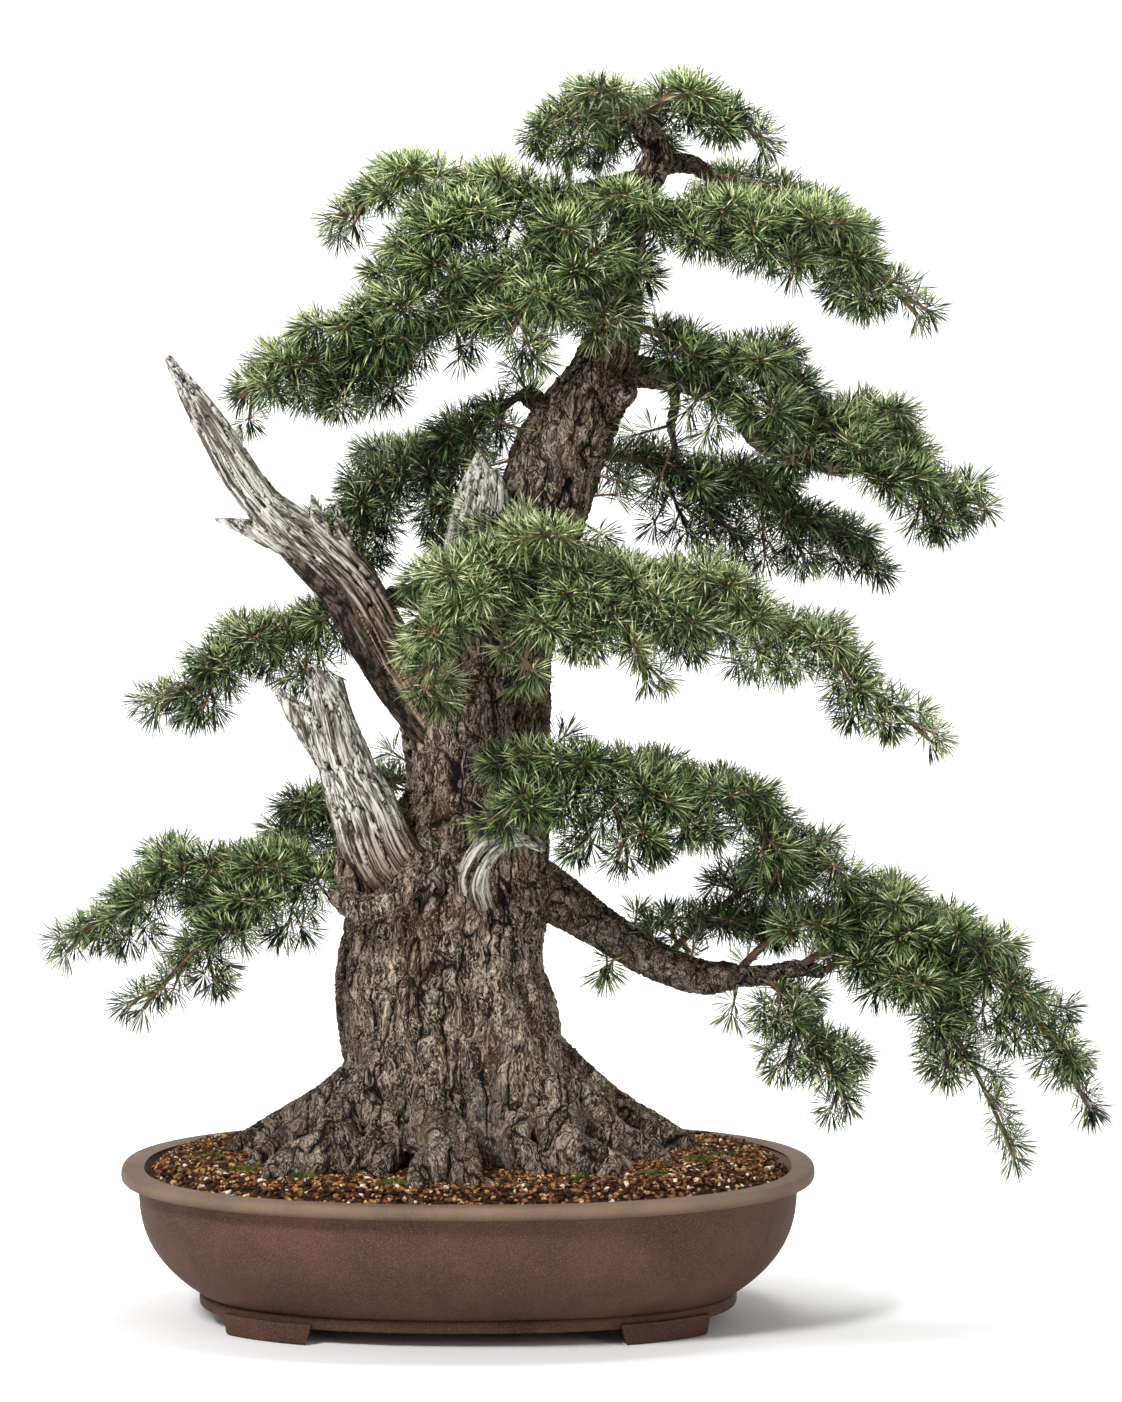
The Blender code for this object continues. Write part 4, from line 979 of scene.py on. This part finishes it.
def scatter(name, points, faces, tree, row, roughness):
    """Granules of one kind on a surface."""
    *settings, dark, light = row
    values = dict(zip(("Size", "Density", "Smallest", "Seed"), settings))
    paint = mottled(dark, light, 130.0, 0.36, 0.64, 1300.0, 0.6, 0.0006)
    values["Finish"] = finish_of(name, paint, roughness, 0.2)
    return through_nodes(mesh_object(name, points, faces), tree, **values)


def make_moss(tree):
    angles = 2 * np.pi * np.arange(MOSS_SIDES) / MOSS_SIDES
    fan = [(i, (i + 1) % MOSS_SIDES, MOSS_SIDES) for i in range(MOSS_SIDES)]
    pieces = []
    for x, y, radius in np.array(MOSS) / 1000:
        reach = radius * (1 + 0.25 * np.sin(3 * angles + 40 * x))
        rim = [x + reach * np.cos(angles), y + 0.6 * reach * np.sin(angles)]
        rim = np.stack([*rim, np.full(MOSS_SIDES, SOIL_TOP + 0.0005)], 1)
        pieces.append((np.concatenate([rim, [[x, y, SOIL_TOP + MOSS_HEIGHT]]]), fan))
    return scatter("moss_patches", *joined(pieces), tree, MOSS_TIPS, 0.85)


def spine(start, tip, arch):
    """A parabola from the start to the tip that stands so high above the straight line."""
    count = max(round(np.linalg.norm(tip - start) / SHOOT_STEP), 6)
    t = np.linspace(0, 1, count + 1)[:, None]
    return start + (tip - start) * t + np.array([0, 0, 4 * arch]) * t * (1 - t)


def shoot_from(root, aim, length, droop=TWIG_DROOP):
    """A twig that leaves its root in a direction and sags towards its tip."""
    count = max(round(length / SHOOT_STEP), 3)
    t = np.linspace(0, 1, count + 1)[:, None]
    return root + aim * length * t + np.array([0, 0, -droop * length]) * t ** 2


def on_path(path, share):
    """The point and the direction at a share of the way along a path."""
    place = share * (len(path) - 1)
    at = min(int(place), len(path) - 2)
    step = path[at + 1] - path[at]
    return path[at] + step * (place - at), unit(step)


def side_shoots(path, spread, rule, rng):
    """Side shoots, left and right by turns and longest a little before the middle, with lengths."""
    pitch, sweep, tilts = rule
    count = 1 + round(np.linalg.norm(path[-1] - path[0]) / pitch)
    for i in range(count):
        t = BARE_STEM + (LAST_SHOOT - BARE_STEM) * (i + 0.6) / count
        root, ahead = on_path(path, t)
        across = unit(np.cross(ahead, (0, 0, 1))) * (1 if i % 2 else -1)
        upward = unit(np.cross(across, ahead))
        upward = upward * math.copysign(1, upward[2])
        tilt = tilts[i % len(tilts)] + rng.uniform(-0.2, 0.2)
        turn = sweep + rng.uniform(-0.2, 0.2)
        aim = ahead * math.cos(turn) + (across * math.cos(tilt) + upward * math.sin(tilt)) * math.sin(turn)
        length = spread * (0.55 + 0.65 * math.sin(math.pi * min(t + 0.12, 1) ** 0.8)) * rng.uniform(0.85, 1.1)
        yield shoot_from(root, aim, length), length


def grow_mass(number, start, tip, arch, spread):
    """All shoots of a mass, each with its kind."""
    rng = random.Random(SEED + 100 * number)
    stem = spine(start, tip, arch)
    yield stem, STEM
    for twig, length in side_shoots(stem, spread, TWIG_RULE, rng):
        yield twig, TWIG
        if length > BRANCHING_LENGTH:
            for side_twig, _ in side_shoots(twig, length * SIDE_TWIG_SHARE, SIDE_TWIG_RULE, rng):
                yield side_twig, SIDE_TWIG


def tufts_on(path, bald, rng):
    """Places, axes, counts, widths and sizes of the bursts of needles along a shoot and at its tip."""
    length = np.linalg.norm(np.diff(path, axis=0), axis=1).sum()
    count = max(round(length * (1 - bald) / TUFT_STEP), 1)
    found = []
    for i in range(count):
        t = bald + (1 - bald) * (i + rng.uniform(0.2, 0.8)) / count
        spot, ahead = on_path(path, t)
        turn = rng.uniform(0, 2 * math.pi)
        right = unit(np.cross(ahead, (0, 0, 1)))
        radial = right * math.cos(turn) + np.cross(right, ahead) * (abs(math.sin(turn)) - 0.15)
        found.append((spot, unit(0.45 * ahead + 0.9 * radial), *SIDE_TUFT[:2], rng.uniform(*SIDE_TUFT[2:])))
    found.append((path[-1], unit(path[-1] - path[-2]), *END_TUFT[:2], rng.uniform(*END_TUFT[2:])))
    return found


def grow_shoots():
    """Every shoot's tube, and every burst of needles with its tint."""
    lines = {"trunk": TRUNK_LINE, **BOUGHS}
    rng = random.Random(SEED)
    tubes, tufts = [], []

    def keep(shoot, kind, tint, upward):
        radius, bald = kind
        tubes.append(tube(shoot, radius * np.linspace(1, 0.5, len(shoot)), SHOOT_SIDES))
        for tuft in tufts_on(shoot, bald, rng):
            # Painted light: bursts that face up are made paler and those that face down darker.
            tufts.append((*tuft, tint + rng.gauss(0, TINT_BY_SHOOT) + upward * tuft[1][2]))

    for number, (carrier, along, tip, arch, spread, pale) in enumerate(MASSES.values()):
        path, _ = smooth(lines[carrier], 8)
        start = path[round(along * (len(path) - 1))]
        for shoot, kind in grow_mass(number, start, np.array(tip) / 1000, arch / 1000, spread / 1000):
            # A mass's paleness is partly painted light: paler in front, darker at the back.
            keep(shoot, kind, rng.gauss(TINT + TINT_BY_PALE * pale, TINT_BY_SHOOT), UPWARD_BURST_PAINTED_LIGHT)
    for root, aim in SPURS:
        shoot = shoot_from(np.array(root) / 1000, unit(np.array(aim)), SPUR_LENGTH, 0)
        keep(shoot, SPUR, SPUR_TINT, 0)
    return tubes, tufts


def in_wood(spots):
    """Whether each spot is inside a limb."""
    limbs = [smooth(line, 8) for line in (TRUNK_LINE, *BOUGHS.values())]
    path, radii = (np.concatenate(part) for part in zip(*limbs))
    away = np.linalg.norm(spots[:, None] - path, axis=2)
    return (away < WOOD_SHARE * radii).any(1)


def burst(tuft, deal):
    """The needles of a burst: base, aim, length and the number of its tint."""
    spot, axis, count, width, size, tint = tuft
    right = unit(np.cross(axis, (0.31, 0.17, 0.93)))
    up = np.cross(axis, right)
    opening = width * np.sqrt(deal.uniform(0.02, 1.0, count))
    turn = np.arange(count) * GOLDEN_ANGLE + deal.uniform(0, 6.28)
    aim = (
        np.outer(np.cos(opening), axis)
        + np.outer(np.sin(opening) * np.cos(turn), right)
        + np.outer(np.sin(opening) * np.sin(turn), up)
    )
    aim[:, 2] -= NEEDLE_SAG
    aim /= np.linalg.norm(aim, axis=1)[:, None]
    length = NEEDLE * size * deal.uniform(*NEEDLE_SIZES, count)
    # Painted light: needles that aim up take paler tints and those that aim down darker, with a random spread
    # of their own tone.
    tints = tint + UPWARD_NEEDLE_PAINTED_LIGHT * aim[:, 2] + deal.normal(0, TINT_BY_NEEDLE, count)
    return spot + aim * 0.0008, aim, length, np.clip(np.round(tints), 0, len(NEEDLE_TINTS) - 1)


def needle_mesh(name, bases, aims, lengths, finish):
    """Every needle as a closed sliver of four faces, widest past its middle, in one mesh."""
    other = np.where(np.abs(aims[:, 2:3]) < 0.9, (0.0, 0.0, 1.0), (1.0, 0.0, 0.0))
    right = np.cross(aims, other)
    right /= np.linalg.norm(right, axis=1)[:, None]
    up = np.cross(right, aims)
    middle = bases + aims * (lengths * NEEDLE_WIDEST)[:, None] + up * NEEDLE_HALF_WIDTH
    aside = right * NEEDLE_HALF_WIDTH
    points = np.stack([bases, middle + aside, middle - aside, bases + aims * lengths[:, None]], 1)
    pattern = np.array([[0, 1, 2], [0, 2, 3], [0, 3, 1], [1, 3, 2]])
    faces = pattern + 4 * np.arange(len(bases))[:, None, None]
    return mesh_object(name, points.reshape(-1, 3), faces.reshape(-1, 3).tolist(), finish)


def bud_at(place):
    """An eight-faced bud, as they sit in the middle of the bursts of needles."""
    points = place + BUD * np.array([(1, 0, 0), (0, 1, 0), (-1, 0, 0), (0, -1, 0), (0, 0, 1.3), (0, 0, -1.3)])
    return points, [(i, (i + 1) % 4, 4) for i in range(4)] + [((i + 1) % 4, i, 5) for i in range(4)]


def make_foliage():
    """The needles by tint, the buds and the twigs."""
    tubes, tufts = grow_shoots()
    buried = in_wood(np.array([tuft[0] for tuft in tufts]))
    tufts = [tuft for tuft, inside in zip(tufts, buried) if not inside]
    deal = np.random.default_rng(SEED)
    bursts = [burst(tuft, deal) for tuft in tufts]
    bases, aims, lengths, tints = (np.concatenate(part) for part in zip(*bursts))
    made = []
    for number, (tint, colour) in enumerate(NEEDLE_TINTS.items()):
        name = "needles_" + tint
        finish = finish_of(name, None, 0.5, 0.3, Base_Color=(*linear(*colour), 1))
        some = tints == number
        made.append(needle_mesh(name, bases[some], aims[some], lengths[some], finish))
    buds = [bud_at(spot + axis * BUD * deal.uniform(0.5, 2.5)) for spot, axis, *_ in tufts[::2]]
    scales = finish_of("bud_scales", paint_buds, 0.6, 0.3)
    made.append(mesh_object("buds", *joined(buds), scales, rounded=False))
    paint = mottled((88, 68, 54), (134, 104, 78), 90.0, 0.35, 0.65, 900.0, 0.7, 0.0005)
    return made, mesh_object("twigs", *joined(tubes), finish_of("twig_bark", paint, 0.75, 0.3))


def paint_stage(tree):
    """Painted light: a white that glows, most far behind the plant, but not under the pot and close round it.
    """
    place = tree.place()
    away = tree.vectors("LENGTH", tree.vectors("MULTIPLY", place, (1, 1.4, 1)))
    # Without glow under the pot and round it, the shade there stays dark.
    glow = tree.step(away, 0.22, 0.62) * 0.4 + tree.step(tree.axis(place, 1), 1.2, 4.5) * 0.6
    return {"Emission Color": tree.mix(glow, (0, 0, 0), (255, 255, 255))}


def make_stage():
    """A pale floor that curves up into a backdrop, far enough to look at the plant from behind."""
    rows = [(FLOOR_FRONT, 0), (FLOOR_BACK, 0)]
    for angle in np.linspace(0.1, math.pi / 2, 14):
        rows.append((FLOOR_BACK + FLOOR_CURVE * math.sin(angle), FLOOR_CURVE * (1 - math.cos(angle))))
    rows.append((FLOOR_BACK + FLOOR_CURVE, STAGE_HEIGHT))
    points = [(x, y, z) for y, z in rows for x in (-STAGE_HALF_WIDTH, STAGE_HALF_WIDTH)]
    faces = [(2 * i, 2 * i + 1, 2 * i + 3, 2 * i + 2) for i in range(len(rows) - 1)]
    white = (0.93, 0.93, 0.93, 1)
    finish = finish_of("studio_white", paint_stage, 0.9, 0.1, Base_Color=white, Emission_Strength=0.8)
    stage = mesh_object("studio_floor", points, faces, finish, np.zeros(3))


def set_up(name, data, place, target):
    """A light or camera as an object at its place that looks at its target."""
    obj = added(name, data)
    obj.location = place
    obj.rotation_euler = (Vector(target) - obj.location).to_track_quat("-Z", "Y").to_euler()
    return obj


def make_lights():
    for name, (place, size, power) in LIGHTS.items():
        light = bpy.data.lights.new(name, "AREA")
        light.shape = "DISK"
        light.size = size
        light.energy = power
        set_up(name, light, place, LIT_POINT)
    world = bpy.data.worlds.new("studio")
    world.use_nodes = True
    world.node_tree.nodes["Background"].inputs["Color"].default_value = (1, 1, 1, 1)
    world.node_tree.nodes["Background"].inputs["Strength"].default_value = WORLD_LIGHT
    bpy.context.scene.world = world
    bpy.context.scene.view_settings.view_transform = "Standard"


def make_camera():
    camera = bpy.data.cameras.new("camera")
    camera.sensor_fit = "VERTICAL"
    camera.sensor_height = SENSOR_HEIGHT
    camera.lens = LENS
    camera.clip_end = 50
    bpy.context.scene.camera = set_up("camera", camera, CAMERA_PLACE, CAMERA_TARGET)


def main():
    for obj in list(bpy.data.objects):
        bpy.data.objects.remove(obj)
    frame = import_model()
    relief = bark_tree()
    granules = granule_tree()
    bark = finish_of("bark", paint_bark, 0.88, 0.2)

    trunk = make_trunk(bark, relief)
    boughs = make_boughs(bark, relief)
    dead = make_dead_wood(finish_of("dead_wood", paint_dead_wood, 0.82, 0.25), grain_tree())
    pot = make_pot(finish_of("stoneware", paint_stoneware, 0.72, 0.25))
    soil = make_soil(finish_of("earth", paint_earth, 0.95, 0.2))
    grains = make_granules(granules)
    moss = make_moss(granules)
    needles, twigs = make_foliage()

    nodes = sorted(frame["nodes"])
    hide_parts("trunk")
    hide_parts(*[n for n in nodes if n.startswith("bough")])
    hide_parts(*[n for n in nodes if n.startswith("dead")])
    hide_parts("pot")
    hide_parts("soil")
    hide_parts(*[n for n in nodes if n.startswith("foliage")])
    slots = {
        "bark": [*trunk, boughs], "dead_wood": [dead], "stoneware": [pot], "soil": [soil, *grains, moss],
        "needles": [*needles, twigs],
    }
    for name, pieces in slots.items():
        for piece in pieces:
            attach(piece, "root")

    make_stage()
    make_lights()
    make_camera()


main()
